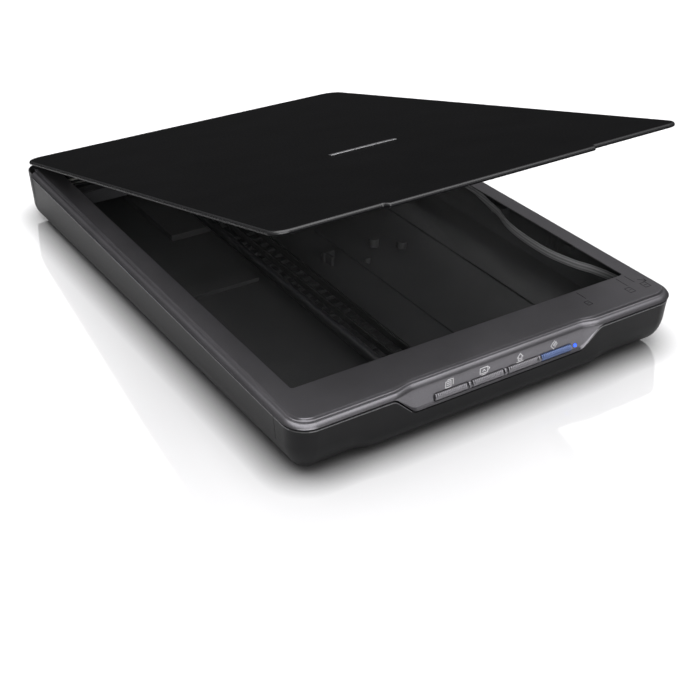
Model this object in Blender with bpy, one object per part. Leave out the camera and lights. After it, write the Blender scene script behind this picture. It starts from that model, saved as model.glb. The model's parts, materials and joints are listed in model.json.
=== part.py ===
"""Slim A4 flatbed scanner with a contact image sensor, lid open.

The frame is the case's: +X to the right, +Y from the buttons to the lid hinge, +Z up, with the
origin on the table below the middle of the case. Lengths here are in millimetres; put_mesh()
turns them into metres.
"""

import math

import bmesh
import bpy
from mathutils import Vector

MM = 0.001

# Case
CASE_X, CASE_Y = 124.5, 182.0  # half width and half depth of the widest line
CASE_CORNER = 13.5
CASE_BOTTOM = 2.6
FLOOR_TOP = 5.0
WALL = 2.2
DRAFT = 1.3
CASE_TOP = 29.4
LIP_TOP = 32.3
REAR_SPLIT_Y = 166.0  # the upper frame ends here and the hinge deck begins

# Upper frame and glass
BED_Z = 34.8
RIM_Z = 32.9
GLASS_X = (-108.5, 110.0)
GLASS_Y = (-151.0, 149.0)
GLASS_TOP = 33.15
GLASS_THICK = 2.8
GLASS_UNDER = 5.0  # how far the bed's lip reaches over the glass
GAP = 0.3

# Button panel in the front wall
PANEL_TOP_X, PANEL_FOOT_X = 66.5, 54.5
PANEL_FOOT_Z = 18.6
BUTTON_Z = 22.3
BUTTON_ENDS = ((-42.5, -22.2), (-19.0, 1.0), (4.3, 24.1), (26.5, 46.9))
BUTTON_HALF_HEIGHT = 2.1
LAMP_X = 50.4

# Lid, drawn closed and then turned about the hinge line
HINGE_Y, HINGE_Z = 171.3, 35.2
LID_OPEN_DEG = 15.06
LID_X = 123.0
LID_REAR_Y, LID_FRONT_Y, LID_GRIP_Y = 180.7, -178.2, -181.4
LID_GRIP_X = (-66.5, -63.5, 59.8, 62.8)  # where the grip leaves the front edge, and is full
LID_REAR_CORNER, LID_FRONT_CORNER = 12.2, 8.0
LID_TOP = 39.0
LID_UNDER = 35.7
POST_X = 84.0

# Carriage at rest, and what it runs on
CAR_Y = (132.0, 152.9)
CAR_X = (-114.0, 113.0)
CAR_FLOOR = 17.2
SENSOR_Y = 141.1
ROD_X, ROD_Z, ROD_R = -40.0, 13.0, 3.0
PULLEY_X, PULLEY_R = -25.0, 4.6
BELT_THICK = 1.2
BELT_Z = (11.0, 15.4)
FRONT_PULLEY_Y, REAR_PULLEY_Y = -163.5, 162.6
GEAR_MODULE = 0.5
WHEEL_TEETH, PINION_TEETH = 38, 12

# Stand under the rear of the case
STAND_Y, STAND_Z = 150.0, 4.75
STAND_HALF_X = 58.0

COLOURS = {
    "case_plastic": ((0.020, 0.020, 0.022), 0.45, 0.0),
    "frame_plastic": ((0.075, 0.070, 0.076), 0.32, 0.35),
    "lid_plastic": ((0.010, 0.010, 0.011), 0.38, 0.0),
    "inner_plastic": ((0.012, 0.012, 0.013), 0.6, 0.0),
    "sensor_plastic": ((0.06, 0.06, 0.065), 0.5, 0.0),
    "clear_glass": ((0.80, 0.86, 0.85), 0.03, 0.0),
    "steel": ((0.55, 0.55, 0.56), 0.25, 1.0),
    "white_film": ((0.85, 0.85, 0.83), 0.55, 0.0),
    "foam": ((0.10, 0.10, 0.10), 0.95, 0.0),
    "rubber": ((0.018, 0.018, 0.018), 0.85, 0.0),
    "circuit_board": ((0.02, 0.10, 0.05), 0.45, 0.0),
    "acetal": ((0.72, 0.71, 0.66), 0.4, 0.0),
    "badge_metal": ((0.60, 0.60, 0.62), 0.3, 1.0),
    "lamp": ((0.05, 0.15, 0.8), 0.2, 0.0),
    "ribbon": ((0.55, 0.56, 0.58), 0.4, 0.0),
}


# ---------------------------------------------------------------- scene and mesh helpers


def clear_scene():
    for obj in list(bpy.data.objects):
        bpy.data.objects.remove(obj, do_unlink=True)


def material(name):
    found = bpy.data.materials.get(name)
    if found:
        return found
    colour, roughness, metallic = COLOURS[name]
    made = bpy.data.materials.new(name)
    made.use_nodes = True
    shader = made.node_tree.nodes["Principled BSDF"]
    shader.inputs["Base Color"].default_value = (*colour, 1.0)
    shader.inputs["Roughness"].default_value = roughness
    shader.inputs["Metallic"].default_value = metallic
    made.diffuse_color = (*colour, 1.0)
    return made


def empty(name, place, parent=None):
    made = bpy.data.objects.new(name, None)
    bpy.context.scene.collection.objects.link(made)
    made.parent = parent
    made.location = Vector(place) * MM
    return made


def put_mesh(name, bm, colour, origin=(0, 0, 0), parent=None, smooth=True):
    """Makes an object from a bmesh drawn in case coordinates; origin is its joint's place."""
    bmesh.ops.recalc_face_normals(bm, faces=bm.faces)
    for vert in bm.verts:
        vert.co = (vert.co - Vector(origin)) * MM
    mesh = bpy.data.meshes.new(name)
    bm.to_mesh(mesh)
    bm.free()
    if colour:
        mesh.materials.append(material(colour))
    if smooth:
        mesh.shade_smooth()
        mesh.set_sharp_from_angle(angle=math.radians(35))
    made = bpy.data.objects.new(name, mesh)
    bpy.context.scene.collection.objects.link(made)
    made.parent = parent
    if parent is None:
        made.location = Vector(origin) * MM
    return made


def add_loft(bm, rings, wrap=False):
    """Joins rings of equal length into a skin, and caps both ends unless the last meets the first."""
    rows = [[bm.verts.new(Vector(point)) for point in ring] for ring in rings]
    count = len(rows[0])
    pairs = list(zip(rows, rows[1:]))
    if wrap:
        pairs.append((rows[-1], rows[0]))
    for lower, upper in pairs:
        for i in range(count):
            j = (i + 1) % count
            bm.faces.new((lower[i], lower[j], upper[j], upper[i]))
    if not wrap:
        bm.faces.new(rows[0])
        bm.faces.new(rows[-1])


def add_prism(bm, outline, axis, low, high):
    """Extrudes a plan outline along an axis. Its two numbers are the other axes in X, Y, Z order."""
    spots = {"x": (1, 2, 0), "y": (0, 2, 1), "z": (0, 1, 2)}[axis]
    rings = []
    for level in (low, high):
        ring = []
        for a, b in outline:
            point = [0.0, 0.0, 0.0]
            for spot, value in zip(spots, (a, b, level)):
                point[spot] = value
            ring.append(point)
        rings.append(ring)
    add_loft(bm, rings)


def add_box(bm, x, y, z):
    add_prism(bm, ((x[0], y[0]), (x[1], y[0]), (x[1], y[1]), (x[0], y[1])), "z", *z)


def circle(a, b, radius, count=20, start=0.0):
    turn = 2 * math.pi / count
    return [
        (a + radius * math.cos(start + turn * i), b + radius * math.sin(start + turn * i))
        for i in range(count)
    ]


def rounded(a, b, half_a, half_b, radius, steps=4):
    """Outline of a rounded rectangle about (a, b), anticlockwise."""
    points = []
    for quarter, (sign_a, sign_b) in enumerate(((1, 1), (-1, 1), (-1, -1), (1, -1))):
        for step in range(steps + 1):
            angle = (quarter + step / steps) * math.pi / 2
            points.append((
                a + sign_a * (half_a - radius) + radius * math.cos(angle),
                b + sign_b * (half_b - radius) + radius * math.sin(angle),
            ))
    return points


def shape(name, colour, parts, origin=(0, 0, 0), parent=None, bevel=0.0):
    """One object from one function that draws into a bmesh, or from several that are unioned."""
    drawers = parts if isinstance(parts, (list, tuple)) else [parts]
    bm = bmesh.new()
    drawers[0](bm)
    made = put_mesh(name, bm, colour, origin, parent)
    for number, drawer in enumerate(drawers[1:]):
        join(made, tool(f"{name}_part{number}", drawer, origin, parent))
    if bevel:
        rounding = made.modifiers.new("edge_radius", "BEVEL")
        rounding.width = bevel * MM
        rounding.segments = 1
        rounding.limit_method = "ANGLE"
        rounding.angle_limit = math.radians(60)
    return made


def tool(name, drawer, origin=(0, 0, 0), parent=None):
    """A shape that only cuts or adds to another, and isn't a piece itself."""
    bm = bmesh.new()
    drawer(bm)
    made = put_mesh(name, bm, None, origin, parent, smooth=False)
    made.hide_render = True
    made.display_type = "WIRE"
    return made


def boolean(target, other, operation):
    step = target.modifiers.new(f"{operation.lower()}_{other.name}", "BOOLEAN")
    step.operation = operation
    step.solver = "EXACT"
    step.object = other


def join(target, other):
    boolean(target, other, "UNION")


def cut(target, name, drawer, origin=(0, 0, 0), parent=None):
    boolean(target, tool(name, drawer, origin, parent), "DIFFERENCE")


def boxes(*ranges):
    """A drawer for boxes that stand apart, each given as its x, y and z ranges."""

    def draw(bm):
        for x, y, z in ranges:
            add_box(bm, x, y, z)

    return draw


def prism(outline, axis, low, high):
    return lambda bm: add_prism(bm, outline, axis, low, high)


def rods(axis, radius, count, *places):
    """A drawer for round bars that stand apart: each place is (a, b, low, high)."""

    def draw(bm):
        for a, b, low, high in places:
            add_prism(bm, circle(a, b, radius, count), axis, low, high)

    return draw


# ---------------------------------------------------------------- outlines that follow the case


def perimeter(front_x, side_y, steps=5):
    """Stations round a rounded rectangle, anticlockwise from the front right corner."""
    stations = []
    for quarter, signs in enumerate(((1, -1), (1, 1), (-1, 1), (-1, -1))):
        for step in range(steps + 1):
            stations.append(("corner", signs, (quarter - 1 + step / steps) * math.pi / 2))
        if quarter == 0:
            stations += [("side", 1, y) for y in sorted(side_y)]
        if quarter == 2:
            stations += [("side", -1, y) for y in sorted(side_y, reverse=True)]
    return stations + [("front", None, x) for x in sorted(front_x)]


def plan_point(station, half, radius, inset, centre=(0.0, 0.0)):
    kind, side, value = station
    half_x, half_y = half[0] - inset, half[1] - inset
    if kind == "front":
        return value, centre[1] - half_y
    if kind == "side":
        return centre[0] + side * half_x, value
    left = max(radius - inset, 0.6)
    return (
        centre[0] + side[0] * (half_x - left) + left * math.cos(value),
        centre[1] + side[1] * (half_y - left) + left * math.sin(value),
    )


def share(value, start, end):
    """0 at start, 1 at end, straight between and held beyond."""
    return min(1.0, max(0.0, (value - start) / (end - start)))


# ---------------------------------------------------------------- base


def fillet_height(x, y):
    """How high the case's lower edge is rounded: it grows towards the front corners."""
    along = 10.2 - 0.041 * y
    middle = min(share(x, -91.0, -77.0), share(x, 77.0, 64.0))
    return along + middle * share(y, -150.0, -178.0) * (10.0 - along)


def lower_case():
    stations = perimeter((-91, -77, 64, 77), (-120, -60, 0, 60, 120))
    half = (CASE_X, CASE_Y)

    def ring(turn, inner):
        points = []
        for station in stations:
            height = fillet_height(*plan_point(station, half, CASE_CORNER, 0.0))
            depth = 4.0 + 0.4 * height
            inset = DRAFT + depth * (1 - math.cos(turn)) + inner * WALL * math.cos(turn)
            lift = inner * (FLOOR_TOP - CASE_BOTTOM) * math.sin(turn)
            level = CASE_BOTTOM + height * (1 - math.sin(turn)) + lift
            points.append((*plan_point(station, half, CASE_CORNER, inset), level))
        return points

    def top(inset):
        # The rear wall carries on up past the parting line, flush with the frame's widest line.
        flush = [GAP if s[0] == "corner" and s[1][1] > 0 else 0.0 for s in stations]
        return [
            (*plan_point(s, half, CASE_CORNER, inset - less), LIP_TOP) for s, less in zip(stations, flush)
        ]

    turns = [math.radians(90 * i / 4) for i in range(5)]
    rings = [ring(turn, 1) for turn in reversed(turns)] + [top(GAP + WALL), top(GAP)]
    rings += [ring(turn, 0) for turn in turns]
    case = shape("lower_case", "case_plastic", lambda bm: add_loft(bm, rings))

    # Ribs, saddles, pillars and the stand's housing stand on the floor.
    under = FLOOR_TOP - 1.0
    rear_slope = ((152, under), (180.0, under), (180.0, 14.2), (158, FLOOR_TOP + GAP))
    join(case, tool("case_rear_slope", prism(rear_slope, "x", -118.5, 118.5)))
    join(case, tool("case_stand_housing", boxes(((-66, 66), (76, 158.5), (under, 9.0)))))
    rails = [((x - 0.8, x + 0.8), (-155, 75), (under, 8.4)) for x in (-35.6, -14.4)]
    join(case, tool("case_channel_rails", boxes(*rails)))
    rungs = [((-35.2, -14.8), (y - 0.8, y + 0.8), (under, 7.2)) for y in range(-150, 66, 9)]
    join(case, tool("case_channel_rungs", boxes(*rungs)))
    join(case, tool("case_floor_steps", boxes(
        ((-92, -44), (0, 13), (under, 7.4)), ((-10, -6), (-150, 74), (under, 6.4)),
        ((20, 24), (-118, -20), (under, 6.0)), ((79.5, 116.0), (-146, 124), (under, 6.2)),
    )))
    join(case, tool("case_cable_hook", boxes(((2, 10), (-1, 2.4), (under, 11.5)))))
    join(case, tool("case_saddles", boxes(
        ((ROD_X - 5, ROD_X + 5), (-168, -164.4), (under, ROD_Z + 1)),
        ((ROD_X - 5, ROD_X + 5), (162.2, 165.2), (under, ROD_Z + 1)),
    )))
    join(case, tool("case_pillars", rods(
        "z", 2.0, 10,
        (-4.5, -168, under, 8.7), (-4.5, -159.5, under, 8.7),
        (41.5, 1.4, under, 10.6), (55.8, -9.5, under, 9.4), (25.6, -15.3, under, 8.6),
        (74, -171.5, 4.6, 11.0), (74, -165, under, 11.0), (114, -168, under, 11.0),
    )))
    join(case, tool("case_idler_axle", rods(
        "z", 1.5, 10, (PULLEY_X, REAR_PULLEY_Y, under, 16.6)
    )))
    join(case, tool("case_bosses", rods(
        "z", 4.2, 14,
        (-62, -166, under, 16.0), (62, -166, under, 16.0),
        (-40, 172.5, 6.0, 22.9), (40, 172.5, 6.0, 22.9),
    )))
    join(case, tool("case_ribbon_post", boxes(((115.6, 122.2), (-36, -30), (17.5, 27.0)))))
    join(case, tool("case_ribbon_guide", boxes(((118.2, 122.2), (-98, -92), (22.0, 26.6)))))
    for side, places in ((1, (-85, -80, -75, -20, 20, 60)), (-1, (-85, -40, 5, 50, 95))):
        low, high = sorted((side * 119.0, side * 122.2))
        wall_ribs = [((low, high), (y - 0.6, y + 0.6), (17.5, 27.0)) for y in places]
        join(case, tool(f"case_wall_ribs{side}", boxes(*wall_ribs)))
    join(case, tool("case_board_rests", boxes(
        ((-52, -48), (-176.8, -172.6), (under, 14.0)), ((53, 57.2), (-176.8, -172.6), (under, 14.0)),
    )))

    cut(case, "cut_top", boxes(((-130, 130), (-190, REAR_SPLIT_Y), (CASE_TOP, 45))))
    deck = rounded(0, 100, 123.3, 80.9, 12.3)
    cut(case, "cut_deck_seat", prism([(x, max(y, REAR_SPLIT_Y - 0.05)) for x, y in deck], "z", 23.1, 45))
    notch = (
        (-PANEL_TOP_X - 0.5, CASE_TOP + 5), (-PANEL_TOP_X - 0.5, CASE_TOP),
        (-PANEL_FOOT_X - 0.5, PANEL_FOOT_Z - 0.7), (PANEL_FOOT_X + 0.5, PANEL_FOOT_Z - 0.7),
        (PANEL_TOP_X + 0.5, CASE_TOP), (PANEL_TOP_X + 0.5, CASE_TOP + 5),
    )
    cut(case, "cut_panel_notch", prism(notch, "y", -190, -176))
    chamfer = ((140, -5), (158, CASE_BOTTOM), (182, 12.2), (190, 15.4), (190, -5))
    cut(case, "cut_rear_chamfer", prism(chamfer, "x", -130, 130))
    cut(case, "cut_stand_pocket", boxes(((-59.5, 59.5), (78.5, 155.0), (-1, 7.0))))
    cut(case, "cut_stand_sockets", rods("x", 1.6, 12, (STAND_Y, STAND_Z, -63.5, 63.5)))
    cut(case, "cut_rod_saddles", rods("y", ROD_R + 0.25, 16, (ROD_X, ROD_Z, -167.4, 167)))
    cut(case, "cut_screw_holes", rods(
        "z", 1.8, 10,
        (-62, -166, 0, 14.5), (62, -166, 0, 14.5), (-40, 172.5, 5, 21.0), (40, 172.5, 5, 21.0),
    ))
    cut(case, "cut_screw_heads", rods(
        "z", 3.2, 14,
        (-62, -166, 0, 5.9), (62, -166, 0, 5.9), (-40, 172.5, 5, 12.4), (40, 172.5, 5, 12.4),
    ))
    cut(case, "cut_usb", boxes(((116, 130), (-167.4, -158.6), (12.8, 16.6))))
    return case


def panel_share(station):
    """1 across the button panel, 0 elsewhere on the frame."""
    kind, _, value = station
    return share(abs(value), PANEL_TOP_X, PANEL_FOOT_X) if kind == "front" else 0.0


# Each profile point is (inset, height) along the plain edge, then across the button panel.
FRAME_PROFILE = (
    ((5.2, 34.8), (7.0, 34.8)),
    ((4.4, 34.55), (6.2, 34.55)),
    ((3.9, 33.9), (5.8, 34.0)),
    ((3.5, 33.15), (5.4, 33.4)),
    ((2.7, 33.0), (4.8, 33.2)),
    ((1.8, 33.15), (4.1, 33.2)),
    ((0.8, 32.85), (2.7, 32.7)),
    ((0.15, 32.2), (1.8, 31.9)),
    ((0.0, 31.5), (1.4, 30.6)),
    ((0.4, 30.9), (0.2, 18.7)),
    ((2.95, 30.8), (2.2, 18.6)),
    ((3.1, 27.5), (4.0, 29.5)),
    ((4.8, 27.5), (5.8, 30.2)),
    ((4.9, 31.6), (6.6, 31.8)),
)


def upper_frame():
    stations = perimeter(
        (-PANEL_TOP_X, -62.5, -58.5, -PANEL_FOOT_X, PANEL_FOOT_X, 58.5, 62.5, PANEL_TOP_X), (-100, 100)
    )
    rings = []
    for plain, panel in FRAME_PROFILE:
        ring = []
        for station in stations:
            weight = panel_share(station)
            inset, level = (a + weight * (b - a) for a, b in zip(plain, panel))
            ring.append((*plan_point(station, (CASE_X, CASE_Y), CASE_CORNER, inset), level))
        rings.append(ring)
    window = ((GLASS_X[1] - GLASS_X[0]) / 2, (GLASS_Y[1] - GLASS_Y[0]) / 2)
    middle = (sum(GLASS_X) / 2, sum(GLASS_Y) / 2)
    lip = GLASS_TOP + 0.85
    for grow, level in ((GLASS_UNDER, 31.8), (GLASS_UNDER, lip), (0, lip), (0, BED_Z)):
        rings.append([
            (*plan_point(s, window, 1.5, -grow, middle), level) for s in stations
        ])
    frame = shape("upper_frame", "frame_plastic", lambda bm: add_loft(bm, rings, wrap=True))
    cut(frame, "cut_frame_rear", boxes(((-130, 130), (REAR_SPLIT_Y - GAP, 190), (20, 50))))
    for number, ((_, low), (high, _)) in enumerate(zip(BUTTON_ENDS, BUTTON_ENDS[1:]), 1):
        bridge = rounded((low + high) / 2, BUTTON_Z, (high - low) / 2 - 0.2, BUTTON_HALF_HEIGHT, 0.8, 2)
        join(frame, tool(f"panel_bridge{number}", prism(bridge, "y", -181.6, -179.0)))
    for number, (low, high) in enumerate(BUTTON_ENDS, 1):
        half_slot = (high - low) / 2 + 0.35
        slot = rounded((low + high) / 2, BUTTON_Z, half_slot, BUTTON_HALF_HEIGHT + 0.35, 1.2, 2)
        cut(frame, f"cut_button_slot{number}", prism(slot, "y", -190, -174))
    cut(frame, "cut_lamp_hole", rods("y", 1.35, 12, (LAMP_X, BUTTON_Z, -190, -174)))
    return frame


def hinge_deck():
    """The floor behind the glass that takes the lid's rear edge as it opens, with the posts' wells."""
    top, under = 24.9, 23.4
    plan = [(x, max(y, REAR_SPLIT_Y + GAP)) for x, y in rounded(0, 100, 123.0, 80.6, 12.0)]
    plan = [p for i, p in enumerate(plan) if p != plan[i - 1]]
    wells = [
        ((side * POST_X - 15.2, side * POST_X + 15.2), (167.0, 175.4), (14.4, top - 0.2))
        for side in (-1, 1)
    ]
    riser = ((-121.0, 121.0), (REAR_SPLIT_Y + GAP, REAR_SPLIT_Y + 1.8), (under + 0.2, 34.5))
    deck = shape("hinge_deck", "frame_plastic", [prism(plan, "z", under, top), boxes(riser), boxes(*wells)])
    bores = [
        ((side * POST_X - 13.4, side * POST_X + 13.4), (168.6, 174.0), (10, 40)) for side in (-1, 1)
    ]
    cut(deck, "cut_wells", boxes(*bores))
    return deck


def base_small_parts():
    grow = GLASS_UNDER - 0.5
    glass = rounded(
        sum(GLASS_X) / 2, sum(GLASS_Y) / 2,
        (GLASS_X[1] - GLASS_X[0]) / 2 + grow, (GLASS_Y[1] - GLASS_Y[0]) / 2 + grow, 6.5, 3,
    )
    shape("document_glass", "clear_glass", prism(glass, "z", GLASS_TOP - GLASS_THICK, GLASS_TOP))
    shape("white_reference_strip", "white_film", boxes(((-107, 107), (149.6, 153.2), (33.4, 33.75))))
    shape("guide_rod", "steel", rods("y", ROD_R, 16, (ROD_X, ROD_Z, -167.1, 165.0)))

    # The belt is one closed loop standing on its edge.
    inner, outer = PULLEY_R, PULLEY_R + BELT_THICK

    def loop(radius):
        rear = circle(PULLEY_X, REAR_PULLEY_Y, radius, 24)[:13]
        front = circle(PULLEY_X, FRONT_PULLEY_Y, radius, 24)[12:] + [(PULLEY_X + radius, FRONT_PULLEY_Y)]
        return rear + front

    def belt(bm):
        low, high = BELT_Z
        rings = [[(x, y, z) for x, y in loop(radius)] for radius, z in (
            (inner + 0.15, low), (outer, low), (outer, high), (inner + 0.15, high)
        )]
        add_loft(bm, rings, wrap=True)

    shape("drive_belt", "rubber", belt)

    motor_x = PULLEY_X + (WHEEL_TEETH + PINION_TEETH) * GEAR_MODULE / 2 + 0.15
    plate = shape("motor_bracket", "steel", boxes(((-34, -2.5), (-176.5, -157.3), (9.0, 9.8))))
    cut(plate, "cut_bracket", rods(
        "z", 2.4, 14, (PULLEY_X, FRONT_PULLEY_Y, 5, 12), (motor_x, FRONT_PULLEY_Y, 5, 12)
    ))
    shape("drive_motor", "steel", rods("z", 6.0, 20, (motor_x, FRONT_PULLEY_Y, 10.1, 21.5)))

    shape("button_board", "circuit_board", boxes(((-50, 57), (-173.4, -172.2), (14.3, 29.0))))
    for number, (low, high) in enumerate(BUTTON_ENDS, 1):
        middle = (low + high) / 2
        shape(f"tact_switch_{number}", "sensor_plastic", [
            boxes(((middle - 3, middle + 3), (-175.6, -173.7), (BUTTON_Z - 3, BUTTON_Z + 3))),
            rods("y", 1.2, 10, (middle, BUTTON_Z, -176.3, -175.4)),
        ])
    shape("status_light_pipe", "lamp", [
        rods("y", 1.1, 12, (LAMP_X, BUTTON_Z, -180.9, -174.9)),
        boxes(((LAMP_X - 1.6, LAMP_X + 1.6), (-175.4, -173.7), (BUTTON_Z - 1.6, BUTTON_Z + 1.6))),
    ])

    shape("main_board", "circuit_board", [
        boxes(((69, 112), (-176.4, -156.4), (11.3, 12.5))),
        boxes(((111, 118.4), (-168.6, -156.4), (11.3, 12.5))),
    ])
    port = shape("usb_port", "steel", boxes(((116.6, 122.6), (-166.9, -159.1), (12.9, 16.2))))
    cut(port, "cut_usb_mouth", boxes(((117.6, 125), (-166.3, -159.7), (13.5, 15.6))))
    shape("controller_chip", "inner_plastic", boxes(((84, 96), (-172, -160), (12.8, 14.2))))
    shape("ribbon_connector", "acetal", boxes(((100, 115), (-158.6, -156.8), (12.8, 16.5))))

    for number, (x, y) in enumerate(((-98, -148), (98, -148), (98, 132), (-98, 132)), 1):
        shape(f"foot_{number}", "rubber", prism(circle(x, y, 7.0, 20), "z", 0.0, CASE_BOTTOM - GAP), bevel=0.5)
    for number, (x, y, low) in enumerate(
        ((-62, -166, 3.4), (62, -166, 3.4), (-40, 172.5, 9.9), (40, 172.5, 9.9)), 1
    ):
        shape(f"case_screw_{number}", "steel", [
            rods("z", 2.8, 14, (x, y, low, low + 2.0)),
            rods("z", 1.4, 10, (x, y, low + 1.8, low + 10.0)),
        ])


def smooth_route(points, steps):
    """Points on a Catmull-Rom curve through the given ones."""
    ends = [points[0], *points, points[-1]]
    route = []
    for a, b, c, d in zip(ends, ends[1:], ends[2:], ends[3:]):
        for step in range(steps):
            t = step / steps
            route.append(tuple(
                0.5 * (2 * q + (r - p) * t + (2 * p - 5 * q + 4 * r - s) * t * t
                       + (3 * q - p - 3 * r + s) * t ** 3)
                for p, q, r, s in zip(a, b, c, d)
            ))
    return [*route, points[-1]]


def strip(route, thickness):
    """Outline of a thin strip that follows a route."""
    left, right = [], []
    for i, (x, y) in enumerate(route):
        before, after = route[max(i - 1, 0)], route[min(i + 1, len(route) - 1)]
        run = math.hypot(after[0] - before[0], after[1] - before[1])
        across = ((after[1] - before[1]) / run, (before[0] - after[0]) / run)
        left.append((x - across[0] * thickness / 2, y - across[1] * thickness / 2))
        right.append((x + across[0] * thickness / 2, y + across[1] * thickness / 2))
    return left + right[::-1]


def ribbons():
    route = smooth_route((
        (114.2, -153.0), (115.0, -143.0), (117.6, -122.5), (117.6, -99.5), (115.4, -74.0),
        (114.5, -40.0), (114.5, -26.0), (117.6, 0.0), (118.2, 60.0), (118.2, 112.0), (116.4, 134.0),
        (114.0, 141.0),
    ), 3)
    shape("sensor_ribbon", "ribbon", prism(strip(route, 0.35), "z", 20.5, 29.6))
    shape("panel_ribbon", "ribbon", boxes(((57.6, 68.6), (-174.6, -174.2), (13.0, 22.0))))


# ---------------------------------------------------------------- moving drive parts


def gear_outline(x, y, teeth, start):
    """Straight-sided teeth with side clearance. The first tooth's middle points along start."""
    pitch = teeth * GEAR_MODULE / 2
    points = []
    for tooth in range(teeth):
        middle = start + 2 * math.pi * tooth / teeth
        for radius, half_share in (
            (pitch - 0.62 * GEAR_MODULE * 2 * 0.9, -0.30), (pitch + 0.40, -0.11),
            (pitch + 0.40, 0.11), (pitch - 0.62 * GEAR_MODULE * 2 * 0.9, 0.30),
        ):
            angle = middle + half_share * 2 * math.pi / teeth
            points.append((x + radius * math.cos(angle), y + radius * math.sin(angle)))
    return points


def drive_parts():
    place = (PULLEY_X, FRONT_PULLEY_Y, 0)
    drive_axis = empty("drive_pulley_axis", place)
    wheel = gear_outline(*place[:2], WHEEL_TEETH, math.pi / WHEEL_TEETH)
    shape("drive_pulley", "acetal", [
        prism(wheel, "z", 6.9, 8.7),
        rods("z", 2.1, 12, (*place[:2], 8.5, 10.3)),
        rods("z", PULLEY_R + 0.9, 20, (*place[:2], 10.1, 10.7)),
        rods("z", PULLEY_R - 0.15, 20, (*place[:2], 10.5, 16.0)),
        rods("z", PULLEY_R + 0.9, 20, (*place[:2], 15.7, 16.3)),
    ], place, drive_axis)

    motor_x = PULLEY_X + (WHEEL_TEETH + PINION_TEETH) * GEAR_MODULE / 2 + 0.15
    place = (motor_x, FRONT_PULLEY_Y, 0)
    motor_axis = empty("motor_pinion_axis", place)
    shape("motor_pinion", "acetal", [
        prism(gear_outline(*place[:2], PINION_TEETH, math.pi), "z", 6.9, 8.7),
        rods("z", 1.2, 10, (*place[:2], 8.5, 9.75)),
    ], place, motor_axis)

    place = (PULLEY_X, REAR_PULLEY_Y, 0)
    idler_axis = empty("idler_pulley_axis", place)
    idler = shape("idler_pulley", "acetal", [
        rods("z", PULLEY_R - 0.15, 20, (*place[:2], 10.2, 16.2)),
        rods("z", PULLEY_R + 0.9, 20, (*place[:2], 10.1, 10.7)),
        rods("z", PULLEY_R + 0.9, 20, (*place[:2], 15.7, 16.3)),
    ], place, idler_axis)
    cut(idler, "cut_idler_bore", rods("z", 1.8, 12, (*place[:2], 5, 20)), place, idler_axis)


def carriage():
    home = (0, SENSOR_Y, 0)
    slide = empty("carriage_slide", home)

    def piece(name, colour, parts):
        return shape(name, colour, parts, home, slide)

    def trim(target, name, drawer):
        cut(target, name, drawer, home, slide)

    tray = piece("carriage_frame", "sensor_plastic", boxes((CAR_X, CAR_Y, (CAR_FLOOR, 25.8))))
    trim(tray, "cut_tray", boxes(
        ((CAR_X[0] + 1.4, CAR_X[1] - 1.4), (CAR_Y[0] + 1.4, CAR_Y[1] - 1.4), (CAR_FLOOR + 1.6, 40)),
    ))
    trim(tray, "cut_ribbon_way", boxes(((CAR_X[1] - 2, 120), (136, 146), (22, 40))))

    body_x, body_y, body_z = (-111.6, 110.6), (134.2, 150.8), (20.4, 29.4)
    housing = piece("sensor_housing", "inner_plastic", boxes((body_x, body_y, body_z)))
    trim(housing, "cut_window_seat", boxes(((-109.4, 108.4), (135.6, 147.0), (28.5, 35))))
    trim(housing, "cut_board_seat", boxes(((-106, 106), (135.8, 149.2), (10, 22.0))))
    trim(housing, "cut_lens_slot", boxes(((-107.4, 106.4), (140.0, 142.2), (15, 35))))
    trim(housing, "cut_lamp_slot", boxes(((-107.4, 106.4), (143.6, 146.6), (25.2, 35))))
    trim(housing, "cut_spacer_seats", boxes(
        ((-110.6, -109.9), (147.6, 150), (27.6, 35)),
        ((-106, -98), (147.6, 150.0), (27.6, 35)),
        ((97, 105), (147.6, 150.0), (27.6, 35)),
    ))
    piece("sensor_window", "clear_glass", boxes(((-109.0, 108.0), (135.9, 146.7), (28.8, 29.55))))
    piece("rod_lens_array", "sensor_plastic", boxes(((-107.0, 106.0), (140.3, 141.9), (22.4, 28.2))))
    piece("light_guide", "acetal", boxes(((-107.0, 106.0), (143.9, 146.3), (25.5, 28.2))))
    piece("sensor_board", "circuit_board", boxes(((-105.5, 105.5), (136.2, 148.8), (20.7, 21.6))))
    for side, low in (("left", -105.7), ("right", 97.3)):
        piece(f"glass_slider_{side}", "acetal", boxes(((low, low + 7.4), (147.9, 149.7), (27.9, 30.05))))
    for side, x in (("left", -96.0), ("right", 96.0)):
        arc = [(x + 9 * t, 19.1 + 0.8 * (1 - t * t)) for t in (-1, -0.5, 0, 0.5, 1)]
        band = arc + [(a, b + 0.3) for a, b in reversed(arc)]
        piece(f"leaf_spring_{side}", "steel", prism(band, "y", 139, 146))

    bush = piece("slide_bush", "acetal", boxes(((ROD_X - 4.9, ROD_X + 4.9), (133, 152), (9.2, 16.9))))
    trim(bush, "cut_bush_bore", rods("y", ROD_R + 0.12, 16, (ROD_X, ROD_Z, 120, 160)))
    strand = PULLEY_X + PULLEY_R + 0.15 + BELT_THICK / 2
    clamp = piece("belt_clamp", "acetal", boxes(((strand - 3.2, strand + 3.2), (134, 143), (9.9, 16.9))))
    trim(clamp, "cut_belt_way", boxes(((strand - 1.1, strand + 1.1), (120, 160), (10.6, 15.8))))


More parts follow.
